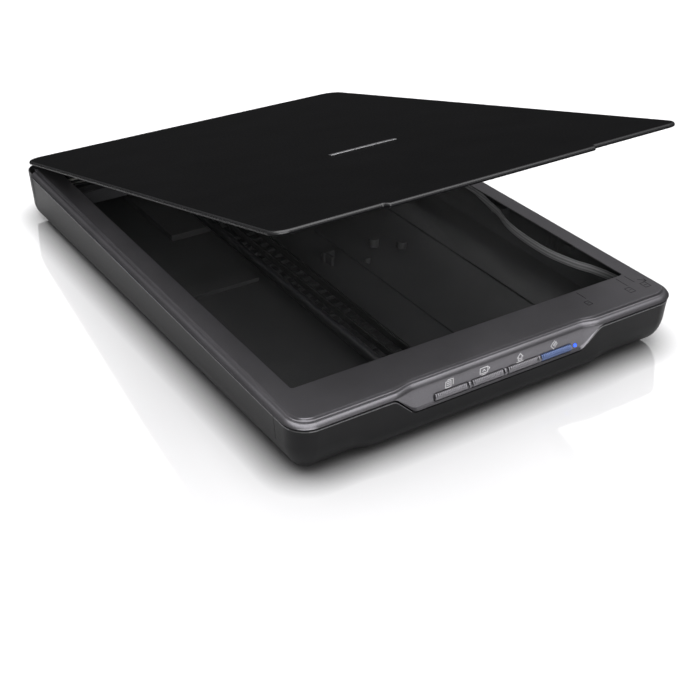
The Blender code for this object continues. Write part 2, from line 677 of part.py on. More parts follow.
def front_buttons():
    """Four sprung caps: a rounded bar's four lengths, each with a flange behind the panel."""
    for number, (low, high) in enumerate(BUTTON_ENDS, 1):
        middle = (low + high) / 2
        place = (middle, -181.0, BUTTON_Z)
        axis = empty(f"button_{number}_slide", place)
        outline = rounded(middle, BUTTON_Z, (high - low) / 2, BUTTON_HALF_HEIGHT, 1.0, 2)
        nose = rounded(middle, BUTTON_Z, (high - low) / 2 - 0.5, BUTTON_HALF_HEIGHT - 0.9, 0.6, 2)

        def cap(bm, outline=outline, nose=nose):
            add_loft(bm, [[(x, y, z) for x, z in ring] for y, ring in (
                (-177.4, outline), (-181.4, outline), (-182.0, nose)
            )])

        shape(f"button_{number}", "frame_plastic", [
            cap,
            boxes(((low - 1.0, high + 1.0), (-178.2, -177.2), (BUTTON_Z - 3.4, BUTTON_Z - 1.6))),
        ], place, axis)


# ---------------------------------------------------------------- lid, posts and stand


def lid_outline(station, inset):
    """The lid's plan, with the straight grip that stands proud of the front edge."""
    half = (LID_X, (LID_REAR_Y - LID_FRONT_Y) / 2)
    centre = (0.0, (LID_REAR_Y + LID_FRONT_Y) / 2)
    rear = station[0] == "corner" and station[1][1] > 0
    x, y = plan_point(station, half, LID_REAR_CORNER if rear else LID_FRONT_CORNER, inset, centre)
    if station[0] == "front":
        proud = min(share(x, *LID_GRIP_X[:2]), share(x, *LID_GRIP_X[:1:-1]))
        y -= (LID_FRONT_Y - LID_GRIP_Y) * proud
    return x, y


def hinged_lid():
    """The lid and its hinge posts, drawn closed."""
    posts = empty("hinge_posts_slide", (0, HINGE_Y, HINGE_Z))
    hinge = empty("lid_hinge", (0, 0, 0), posts)
    hinge.rotation_euler.x = math.radians(-LID_OPEN_DEG)
    line = (0, HINGE_Y, HINGE_Z)

    def piece(name, colour, parts, bevel=0.0):
        return shape(name, colour, parts, line, hinge, bevel)

    for side, sign in (("left", -1), ("right", 1)):
        x = sign * POST_X
        shape(f"hinge_post_{side}", "inner_plastic", [
            boxes(((x - 13.0, x + 13.0), (169.0, 173.6), (14.8, 30.5))),
            boxes(((x - 6.0, x + 6.0), (169.3, 173.3), (30.0, HINGE_Z))),
            rods("x", 2.1, 14, (HINGE_Y, HINGE_Z, x - 6.0, x + 6.0)),
        ], line, posts)
        post = bpy.data.objects[f"hinge_post_{side}"]
        cut(post, f"cut_post_{side}", rods("x", 1.35, 12, (HINGE_Y, HINGE_Z, x - 15, x + 15)), line, posts)
        bracket = piece(f"hinge_bracket_{side}", "inner_plastic", [
            boxes(((x - 12.0, x + 12.0), (167.0, 173.8), (37.6, 38.0))),
            boxes(
                ((x - 10.5, x - 6.6), (169.0, 173.6), (HINGE_Z, 37.9)),
                ((x + 6.6, x + 10.5), (169.0, 173.6), (HINGE_Z, 37.9)),
            ),
            rods(
                "x", 2.3, 14,
                (HINGE_Y, HINGE_Z, x - 10.5, x - 6.6), (HINGE_Y, HINGE_Z, x + 6.6, x + 10.5),
            ),
        ])
        cut(bracket, f"cut_bracket_{side}", rods(
            "x", 1.35, 12, (HINGE_Y, HINGE_Z, x - 15, x + 15)
        ), line, hinge)
        piece(f"hinge_pin_{side}", "steel", rods("x", 1.05, 12, (HINGE_Y, HINGE_Z, x - 10.3, x + 10.3)))

    stations = perimeter(LID_GRIP_X, ())
    profile = (
        (6.5, 38.3), (6.5, LID_UNDER), (5.0, LID_UNDER), (1.2, 36.5), (0.1, 37.2), (0.0, 37.9),
        (0.35, 38.5), (0.9, 38.85), (1.9, LID_TOP),
    )
    rings = [[(*lid_outline(s, inset), z) for s in stations] for inset, z in profile]
    cover = piece("lid_cover", "lid_plastic", lambda bm: add_loft(bm, rings))
    wells = [
        ((sign * POST_X - 14.5, sign * POST_X + 14.5), (166.0, 190.0), (30, 37.3)) for sign in (-1, 1)
    ]
    cut(cover, "cut_lid_hinge_ways", boxes(*wells), line, hinge)
    liner_plan = rounded(0, -2.0, LID_X - 6.9, 166.0, 3.0, 2)
    piece("lid_liner", "inner_plastic", prism(liner_plan, "z", 36.6, 37.9))
    pad = rounded(sum(GLASS_X) / 2, -1.0, 107.0, 147.5, 2.0, 2)
    piece("document_pad_foam", "foam", prism(pad, "z", 34.4, 36.3))
    piece("document_mat", "white_film", prism(pad, "z", 33.5, 34.1))
    piece("lid_badge", "badge_metal", boxes(((-16.5, 28.5), (-49.0, -45.2), (39.05, 39.25))))


def kick_stand():
    axis = empty("stand_hinge", (0, STAND_Y, STAND_Z))
    place = (0, STAND_Y, STAND_Z)
    half = 1.55
    side = [
        (84.0, STAND_Z - half), (STAND_Y, STAND_Z - half),
        *[(STAND_Y + half * math.sin(a), STAND_Z - half * math.cos(a))
          for a in (math.pi / 4, math.pi / 2, 3 * math.pi / 4)],
        (STAND_Y, STAND_Z + half), (84.0, STAND_Z + half),
    ]
    shape("kick_stand", "case_plastic", [
        prism(side, "x", -STAND_HALF_X, -STAND_HALF_X + 12),
        prism(side, "x", STAND_HALF_X - 12, STAND_HALF_X),
        boxes(((-STAND_HALF_X + 1, STAND_HALF_X - 1), (84.5, 100), (STAND_Z - half + 0.1, STAND_Z + half - 0.1))),
        rods("x", 1.25, 12, (STAND_Y, STAND_Z, -62.5, -STAND_HALF_X + 3)),
        rods("x", 1.25, 12, (STAND_Y, STAND_Z, STAND_HALF_X - 3, 62.5)),
    ], place, axis)


def main():
    clear_scene()
    lower_case()
    upper_frame()
    hinge_deck()
    base_small_parts()
    ribbons()
    drive_parts()
    carriage()
    front_buttons()
    hinged_lid()
    kick_stand()


main()
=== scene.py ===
import json
import math

import bmesh
import bpy
from mathutils import Matrix, Vector


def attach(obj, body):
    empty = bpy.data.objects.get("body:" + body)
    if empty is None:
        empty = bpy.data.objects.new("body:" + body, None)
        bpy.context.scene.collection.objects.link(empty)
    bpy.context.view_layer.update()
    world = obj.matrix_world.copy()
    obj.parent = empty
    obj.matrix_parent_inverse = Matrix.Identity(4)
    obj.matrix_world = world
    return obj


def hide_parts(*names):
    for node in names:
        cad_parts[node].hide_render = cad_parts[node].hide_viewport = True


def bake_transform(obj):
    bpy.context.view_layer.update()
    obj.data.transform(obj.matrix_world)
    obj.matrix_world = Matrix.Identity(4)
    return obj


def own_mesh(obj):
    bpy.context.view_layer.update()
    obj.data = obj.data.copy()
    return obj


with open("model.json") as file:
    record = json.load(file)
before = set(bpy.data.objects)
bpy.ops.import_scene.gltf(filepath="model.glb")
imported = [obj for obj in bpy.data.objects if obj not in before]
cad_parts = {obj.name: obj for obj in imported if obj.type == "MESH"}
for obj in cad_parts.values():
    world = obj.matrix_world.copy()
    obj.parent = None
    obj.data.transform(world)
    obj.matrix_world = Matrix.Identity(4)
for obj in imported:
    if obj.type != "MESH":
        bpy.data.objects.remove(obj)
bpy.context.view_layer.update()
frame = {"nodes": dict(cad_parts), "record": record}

# Slim A4 flatbed scanner, lid part open. Lengths are in millimetres; draw() turns them into metres.
MM = 0.001
GAP = 0.3

CASE_HALF = (124.5, 182.0)
CASE_CORNER = 13.5
CASE_BOTTOM, FLOOR_TOP = 2.6, 5.0
WALL, REAR_WALL, DRAFT = 2.2, 0.9, 1.3
# How far in from the outline a face can be and still be an outside one, low down and higher up.
FILLET_DEPTH, FILLET_TOP, WALL_DEPTH = 11.0, 17.4, 1.9
STAND_POCKET_X, STAND_POCKET_Y, STAND_POCKET_TOP = 60, (78, 155.5), 7.1
CASE_TOP, REAR_TOP = 29.4, 32.3
LOW_WALL = 24.3     # below this height, the wall takes the lines on its inner side down with it
REAR_SPLIT_Y = 166.0
BED_Z = 34.8
GLASS_X, GLASS_Y = (-108.5, 110.0), (-151.0, 149.0)
GLASS_TOP, GLASS_UNDER = 33.15, 5.0
PANEL_TOP_X, PANEL_FOOT_X, PANEL_FOOT_Z = 67.0, 55.0, 17.9
BUTTON_Z, BUTTON_R = 22.3, 2.1
RIB_STEP, RIB_DEPTH = 0.27, 0.2
BUTTON_ENDS = ((-42.5, -22.2), (-19.0, 1.0), (4.3, 24.1), (26.5, 46.9))
BUTTON_BACK_Y = -177.6
LAMP_X = 50.4
SIGN_X, SIGN_Z = (-33.2, -10.9, 12.4, 35.4), 27.3
INK_WIDTH, INK_LOW, INK_HIGH = 0.38, -0.06, 0.03
HINGE_Y, HINGE_Z = 171.3, 35.2
LID_OPEN = math.radians(15.06)
LID_X, LID_REAR_Y, LID_FRONT_Y, LID_GRIP_Y = 123.0, 180.7, -178.2, -181.4
LID_GRIP = (-66.5, -63.5, 59.8, 62.8)
LID_REAR_CORNER, LID_FRONT_CORNER = 12.2, 8.0
LID_TOP, LID_UNDER = 39.0, 35.7
POST_X = 84.0
ROD_X, ROD_Z = -40.0, 13.0
STAND_Y, STAND_Z, STAND_X, STAND_R = 150.0, 4.75, 58.0, 1.55
CABLE_JOIN_Y, CABLE_RISE = -27.0, 2.8
CABLE_LOW, CABLE_HIGH, CABLE_THICK = 22.7, 28.1, 0.3
PULLEY_X, REAR_PULLEY_Y = -25.0, 162.6

for name in ("Cube", "Light", "Camera"):
    if name in bpy.data.objects:
        bpy.data.objects.remove(bpy.data.objects[name], do_unlink=True)


# ---------------------------------------------------------------- materials


class Nodes:
    """A material's node tree, with short calls for adding nodes and links."""

    def __init__(self, name):
        self.material = bpy.data.materials.new(name)
        self.material.use_nodes = True
        self.tree = self.material.node_tree
        self.shader = self.tree.nodes["Principled BSDF"]
        self.place = self.add("ShaderNodeTexCoord").outputs["Object"]

    def add(self, kind, **inputs):
        node = self.tree.nodes.new(kind)
        for key, value in inputs.items():
            self.feed(node.inputs[key.replace("_", " ")], value)
        return node

    def feed(self, socket, value):
        if isinstance(value, bpy.types.NodeSocket):
            self.tree.links.new(value, socket)
        else:
            socket.default_value = value

    def set(self, **inputs):
        for key, value in inputs.items():
            self.feed(self.shader.inputs[key.replace("_", " ")], value)

    def noise(self, scale, detail=2.0, stretch=(1, 1, 1)):
        mapping = self.add("ShaderNodeMapping", Vector=self.place, Scale=stretch)
        node = self.add("ShaderNodeTexNoise", Vector=mapping.outputs[0], Scale=scale, Detail=detail)
        return node.outputs["Fac"]

    def power(self, value, exponent):
        node = self.add("ShaderNodeMath")
        node.operation = "POWER"
        self.feed(node.inputs[0], value)
        self.feed(node.inputs[1], exponent)
        return node.outputs[0]

    def cells(self, scale):
        node = self.add("ShaderNodeTexVoronoi", Vector=self.place, Scale=scale)
        return node.outputs["Distance"]

    def spread(self, value, low, high):
        """Stretches a noise's usual span to low and high."""
        node = self.add("ShaderNodeMapRange", Value=value)
        node.inputs["From Min"].default_value = 0.3
        node.inputs["From Max"].default_value = 0.7
        node.inputs["To Min"].default_value = low
        node.inputs["To Max"].default_value = high
        return node.outputs[0]

    def mix(self, fac, a, b):
        node = self.tree.nodes.new("ShaderNodeMix")
        node.data_type = "RGBA"
        self.feed(node.inputs[0], fac)
        self.feed(node.inputs[6], (*a, 1.0) if isinstance(a, tuple) else a)
        self.feed(node.inputs[7], (*b, 1.0) if isinstance(b, tuple) else b)
        return node.outputs[2]

    def bump(self, height, strength, depth=0.1):
        node = self.add("ShaderNodeBump", Height=height, Strength=strength, Distance=depth * MM)
        self.set(Normal=node.outputs[0])


def tint(colour, factor):
    return tuple(min(1.0, value * factor) for value in colour)


def moulded(
    name, colour, roughness, metallic=0.0, grain=2600, strength=0.25, flake=0.0, specular=0.5, mottle=0.1
):
    """Moulded plastic: a fine spark-eroded grain, faint flow marks and a slightly uneven gloss."""
    n = Nodes(name)
    flow = n.noise(38, 3.0)
    fine = n.noise(grain, 3.0)
    base = n.mix(n.spread(flow, 0.0, 1.0), tint(colour, 1 - mottle), tint(colour, 1 + mottle))
    if flake:
        base = n.mix(n.spread(n.noise(5200, 0.0), 0.0, flake), base, tint(colour, 2.6))
    n.set(
        Base_Color=base, Metallic=metallic, Specular_IOR_Level=specular,
        Roughness=n.spread(n.noise(grain * 0.5, 4.0), roughness - 0.04, roughness + 0.04),
    )
    n.bump(fine, strength)
    return n.material


def glass():
    """Clear float glass: nearly invisible straight on, and more of a mirror at a slant."""
    n = Nodes("float_glass")
    slant = n.power(n.add("ShaderNodeLayerWeight", Blend=0.5).outputs["Facing"], 3.0)
    alpha = n.add("ShaderNodeMath")
    alpha.operation = "MULTIPLY_ADD"
    n.feed(alpha.inputs[0], slant)
    n.feed(alpha.inputs[1], 0.35)
    n.feed(alpha.inputs[2], n.spread(n.noise(14, 2.0), 0.012, 0.025))
    n.set(
        Base_Color=n.mix(n.noise(20), (0.012, 0.015, 0.015), (0.02, 0.024, 0.023)),
        Roughness=n.spread(n.noise(60, 2.0), 0.02, 0.05), Alpha=alpha.outputs[0], Specular_IOR_Level=1.0,
    )
    return n.material


def metal(name, colour, roughness, brush=(1, 1, 1)):
    """Bare metal with fine finishing lines, drawn out along an axis where brush is small."""
    n = Nodes(name)
    lines = n.noise(900, 3.0, brush)
    n.set(
        Base_Color=n.mix(lines, tint(colour, 0.85), tint(colour, 1.12)), Metallic=1.0,
        Roughness=n.spread(lines, roughness - 0.06, roughness + 0.1),
    )
    n.bump(lines, 0.12, 0.05)
    return n.material


def board():
    """Green solder mask over fine straight tracks, with bare pads."""
    n = Nodes("solder_mask")
    brick = n.add("ShaderNodeTexBrick", Vector=n.place, Scale=240.0, Mortar_Size=0.06)
    brick.inputs["Color1"].default_value = (0.010, 0.075, 0.032, 1)
    brick.inputs["Color2"].default_value = (0.014, 0.100, 0.045, 1)
    brick.inputs["Mortar"].default_value = (0.03, 0.16, 0.07, 1)
    n.set(Base_Color=brick.outputs["Color"], Roughness=n.spread(n.noise(300), 0.3, 0.45))
    n.bump(brick.outputs["Fac"], 0.3, 0.05)
    return n.material


def foam():
    """Open foam: dark cells with paler walls."""
    n = Nodes("open_foam")
    cells = n.cells(1500)
    n.set(Base_Color=n.mix(cells, (0.03, 0.03, 0.032), (0.14, 0.14, 0.145)), Roughness=0.95)
    n.bump(cells, 0.8, 0.3)
    return n.material


def ribbon():
    """Flat flexible cable: parallel conductors under a clear skin."""
    n = Nodes("flat_cable")
    wave = n.add("ShaderNodeTexWave", Vector=n.place, Scale=160.0, Distortion=0.0)
    wave.bands_direction = "Z"
    n.set(
        Base_Color=n.mix(wave.outputs["Fac"], (0.21, 0.21, 0.215), (0.42, 0.42, 0.425)),
        Roughness=n.spread(n.noise(200), 0.3, 0.42),
    )
    n.bump(wave.outputs["Fac"], 0.3, 0.08)
    return n.material


def lamp(name, colour, power):
    """A lit lens, a little uneven in its glow."""
    n = Nodes(name)
    glow = n.mix(n.noise(900, 1.0), tint(colour, 0.85), colour)
    n.set(Base_Color=glow, Roughness=0.25, Emission_Color=glow, Emission_Strength=power)
    return n.material


FINISH = {
    "case_plastic": moulded(
        "case_plastic", (0.0075, 0.0075, 0.008), 0.36, grain=2200, strength=0.3, specular=0.13
    ),
    "frame_plastic": moulded(
        "frame_paint", (0.150, 0.146, 0.156), 0.34, metallic=0.85, grain=3200, strength=0.12, flake=0.3
    ),
    "lid_plastic": moulded(
        "lid_plastic", (0.0052, 0.0052, 0.0056), 0.32, grain=1900, strength=0.3, specular=0.05
    ),
    "inner_plastic": moulded("inner_plastic", (0.020, 0.020, 0.021), 0.5, grain=1400, strength=0.3),
    "sensor_plastic": moulded("sensor_plastic", (0.07, 0.07, 0.075), 0.5, grain=1800),
    "clear_glass": glass(),
    "steel": metal("bright_steel", (0.55, 0.55, 0.56), 0.24, (1, 0.05, 1)),
    "white_film": moulded("white_film", (0.80, 0.80, 0.79), 0.5, grain=900, strength=0.1, mottle=0.015),
    "foam": foam(),
    "rubber": moulded("rubber", (0.016, 0.016, 0.016), 0.8, grain=1500, strength=0.4),
    "circuit_board": board(),
    "acetal": moulded("acetal", (0.62, 0.61, 0.57), 0.38, grain=800, strength=0.08),
    "badge_metal": metal("badge_silver", (0.72, 0.72, 0.74), 0.3, (0.05, 1, 1)),
    "lamp": lamp("blue_lamp", (0.03, 0.10, 0.9), 1.5),
    "ribbon": ribbon(),
}
# The case's inside: the same moulding as the outside, painted lighter as painted light where little light
# reaches it.
BAY_PAINTED_LIGHT = moulded("bay_plastic_painted_light", (0.045, 0.045, 0.046), 0.55, grain=1300, strength=0.3)
# The case's upper edge: a lighter colour as a painted highlight, with more gloss.
CASE_EDGE_HIGHLIGHT = moulded("case_edge_painted_highlight", (0.10, 0.10, 0.104), 0.28, grain=2200, strength=0.1, specular=0.9)
# The lid's upper edge: a lighter colour as a painted highlight, with more gloss.
LID_EDGE_HIGHLIGHT = moulded("lid_edge_painted_highlight", (0.02, 0.02, 0.021), 0.26, grain=1900, strength=0.1, specular=0.6)
# The last button: painted blue as the status light's glow falling on it.
BUTTON_GLOW = moulded(
    "painted_lamp_glow", (0.095, 0.13, 0.25), 0.34, metallic=0.85, grain=3200, strength=0.12, flake=0.3
)
# The white scan mat, painted grey as painted shade under the lid.
MAT_SHADED = moulded("mat_painted_shade", (0.45, 0.45, 0.45), 0.55, grain=700, strength=0.12, mottle=0.02)
PRINT_LIGHT = moulded("printed_grey", (0.64, 0.64, 0.65), 0.6, grain=900, strength=0.05)
PRINT_DARK = moulded(
    "printed_black", (0.005, 0.005, 0.006), 0.8, grain=900, strength=0.05, specular=0.1
)
ROD_STEEL = metal("ground_steel", (0.20, 0.20, 0.205), 0.34)


# ---------------------------------------------------------------- mesh helpers


def draw(name, body, slot, drawer, replaces=(), finish=None, smooth=35, at=None):
    """One piece from a function that draws into a bmesh in millimetres."""
    bm = bmesh.new()
    drawer(bm)
    made = to_object(name, bm, at)
    made.data.materials.append(finish or FINISH[slot])
    polish(made, smooth)
    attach(made, body)
    if replaces:
        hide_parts(*replaces)
    return made


def to_object(name, bm, at=None):
    """An object from a bmesh in millimetres, turned or moved by a matrix in metres."""
    bmesh.ops.recalc_face_normals(bm, faces=bm.faces)
    bm.transform(Matrix.Scale(MM, 4))
    if at is not None:
        bm.transform(at)
    mesh = bpy.data.meshes.new(name)
    bm.to_mesh(mesh)
    bm.free()
    made = bpy.data.objects.new(name, mesh)
    bpy.context.scene.collection.objects.link(made)
    return made


def polish(made, angle):
    """Smooth shading, with edges sharper than the angle kept sharp."""
    made.data.shade_smooth()
    made.data.set_sharp_from_angle(angle=math.radians(angle))


def carve(made, cuts=(), joins=()):
    """Joins and cuts shapes drawn in millimetres, then keeps the plain result."""
    helpers = []
    for operation, drawers in (("UNION", joins), ("DIFFERENCE", cuts)):
        for drawer in drawers:
            bm = bmesh.new()
            drawer(bm)
            other = to_object("helper", bm)
            helpers.append(other)
            step = made.modifiers.new("step", "BOOLEAN")
            step.operation = operation
            step.solver = "EXACT"
            step.object = other
    bpy.context.view_layer.update()
    graph = bpy.context.evaluated_depsgraph_get()
    mesh = bpy.data.meshes.new_from_object(made.evaluated_get(graph))
    made.modifiers.clear()
    made.data = mesh
    for other in helpers:
        bpy.data.objects.remove(other, do_unlink=True)


def soften(made, width):
    """Rounds the piece's sharp edges a little, with the modifier left on."""
    rounding = made.modifiers.new("edges", "BEVEL")
    rounding.width = width * MM
    rounding.segments = 2
    rounding.limit_method = "ANGLE"
    rounding.angle_limit = math.radians(40)
    rounding.harden_normals = True


def finish_with(made, *materials):
    made.data.materials.clear()
    for material in materials:
        made.data.materials.append(material)


def loft(bm, rings, wrap=False, caps=True):
    """A skin over rings of equal count, closed by end faces or by joining the last ring to the first."""
    rows = [[bm.verts.new(Vector(point)) for point in ring] for ring in rings]
    count = len(rows[0])
    pairs = list(zip(rows, rows[1:]))
    if wrap:
        pairs.append((rows[-1], rows[0]))
    for lower, upper in pairs:
        for i in range(count):
            j = (i + 1) % count
            bm.faces.new((lower[i], lower[j], upper[j], upper[i]))
    if caps and not wrap:
        bm.faces.new(rows[0])
        bm.faces.new(rows[-1])


def add_prism(bm, outline, axis, low, high):
    """An outline in the other two axes, drawn out along one axis from low to high."""
    spots = {"x": (1, 2, 0), "y": (0, 2, 1), "z": (0, 1, 2)}[axis]
    rings = []
    for level in (low, high):
        ring = []
        for a, b in outline:
            point = [0.0, 0.0, 0.0]
            for spot, value in zip(spots, (a, b, level)):
                point[spot] = value
            ring.append(point)
        rings.append(ring)
    loft(bm, rings)


def prism(outline, axis, low, high):
    return lambda bm: add_prism(bm, outline, axis, low, high)


def boxes(*ranges):
    def drawer(bm):
        for x, y, z in ranges:
            add_prism(bm, ((x[0], y[0]), (x[1], y[0]), (x[1], y[1]), (x[0], y[1])), "z", *z)

    return drawer


def circle(a, b, radius, count=32):
    turn = 2 * math.pi / count
    return [(a + radius * math.cos(turn * i), b + radius * math.sin(turn * i)) for i in range(count)]


def rods(axis, radius, *places):
    def drawer(bm):
        for a, b, low, high in places:
            add_prism(bm, circle(a, b, radius), axis, low, high)

    return drawer


def rounded(a, b, half_a, half_b, radius):
    """A rectangle's outline with rounded corners."""
    steps = 6
    points = []
    for quarter, (sign_a, sign_b) in enumerate(((1, 1), (-1, 1), (-1, -1), (1, -1))):
        for step in range(steps + 1):
            angle = (quarter + step / steps) * math.pi / 2
            points.append((
                a + sign_a * (half_a - radius) + radius * math.cos(angle),
                b + sign_b * (half_b - radius) + radius * math.sin(angle),
            ))
    return points


def perimeter(front_x, side_y, steps=12):
    """Stations once round a rectangle: corner arcs, places along the sides and along the front."""
    stations = []
    for quarter, signs in enumerate(((1, -1), (1, 1), (-1, 1), (-1, -1))):
        for step in range(steps + 1):
            stations.append(("corner", signs, (quarter - 1 + step / steps) * math.pi / 2))
        if quarter == 0:
            stations += [("side", 1, y) for y in sorted(side_y)]
        if quarter == 2:
            stations += [("side", -1, y) for y in sorted(side_y, reverse=True)]
    return stations + [("front", None, x) for x in sorted(front_x)]


def plan_point(station, half, radius, inset, centre=(0.0, 0.0)):
    """The station's place on a rounded rectangle of those half sizes, moved in by inset."""
    kind, side, value = station
    half_x, half_y = half[0] - inset, half[1] - inset
    if kind == "front":
        return value, centre[1] - half_y
    if kind == "side":
        return centre[0] + side * half_x, value
    left = max(radius - inset, 0.6)
    return (
        centre[0] + side[0] * (half_x - left) + left * math.cos(value),
        centre[1] + side[1] * (half_y - left) + left * math.sin(value),
    )


def share(value, start, end):
    """How far the value is from start to end, held between 0 and 1."""
    return min(1.0, max(0.0, (value - start) / (end - start)))


def eased(value):
    return value * value * (3 - 2 * value)


# ---------------------------------------------------------------- base


def notch_share(x):
    """1 across the button panel's foot and 0 beyond it, straight between with rounded ends."""
    places = [abs(x) + step for step in (-1.6, -0.8, 0.0, 0.8, 1.6)]
    return sum(share(place, PANEL_TOP_X, PANEL_FOOT_X) for place in places) / len(places)


NOTCH_X = [sign * x for sign in (-1, 1) for x in (
    53.4, 54.2, 55.0, 55.8, 56.6, 58.5, 61.0, 63.5, 65.4, 66.2, 67.0, 67.8, 68.6,
)]


def fillet_height(x, y):
    """How far up the wall the lower edge's rounding reaches."""
    along = 10.2 - 0.041 * y
    middle = min(eased(share(x, -91.0, -77.0)), eased(share(x, 77.0, 64.0)))
    return along + middle * share(y, -150.0, -178.0) * (10.0 - along)


def case_top(x, y):
    """The wall's upper edge: higher at the rear, and down to the panel's foot in the notch."""
    if y > REAR_SPLIT_Y - 0.1:
        return REAR_TOP
    low = notch_share(x) if y < 1.0 - CASE_HALF[1] else 0.0
    return CASE_TOP + low * (PANEL_FOOT_Z - CASE_TOP)


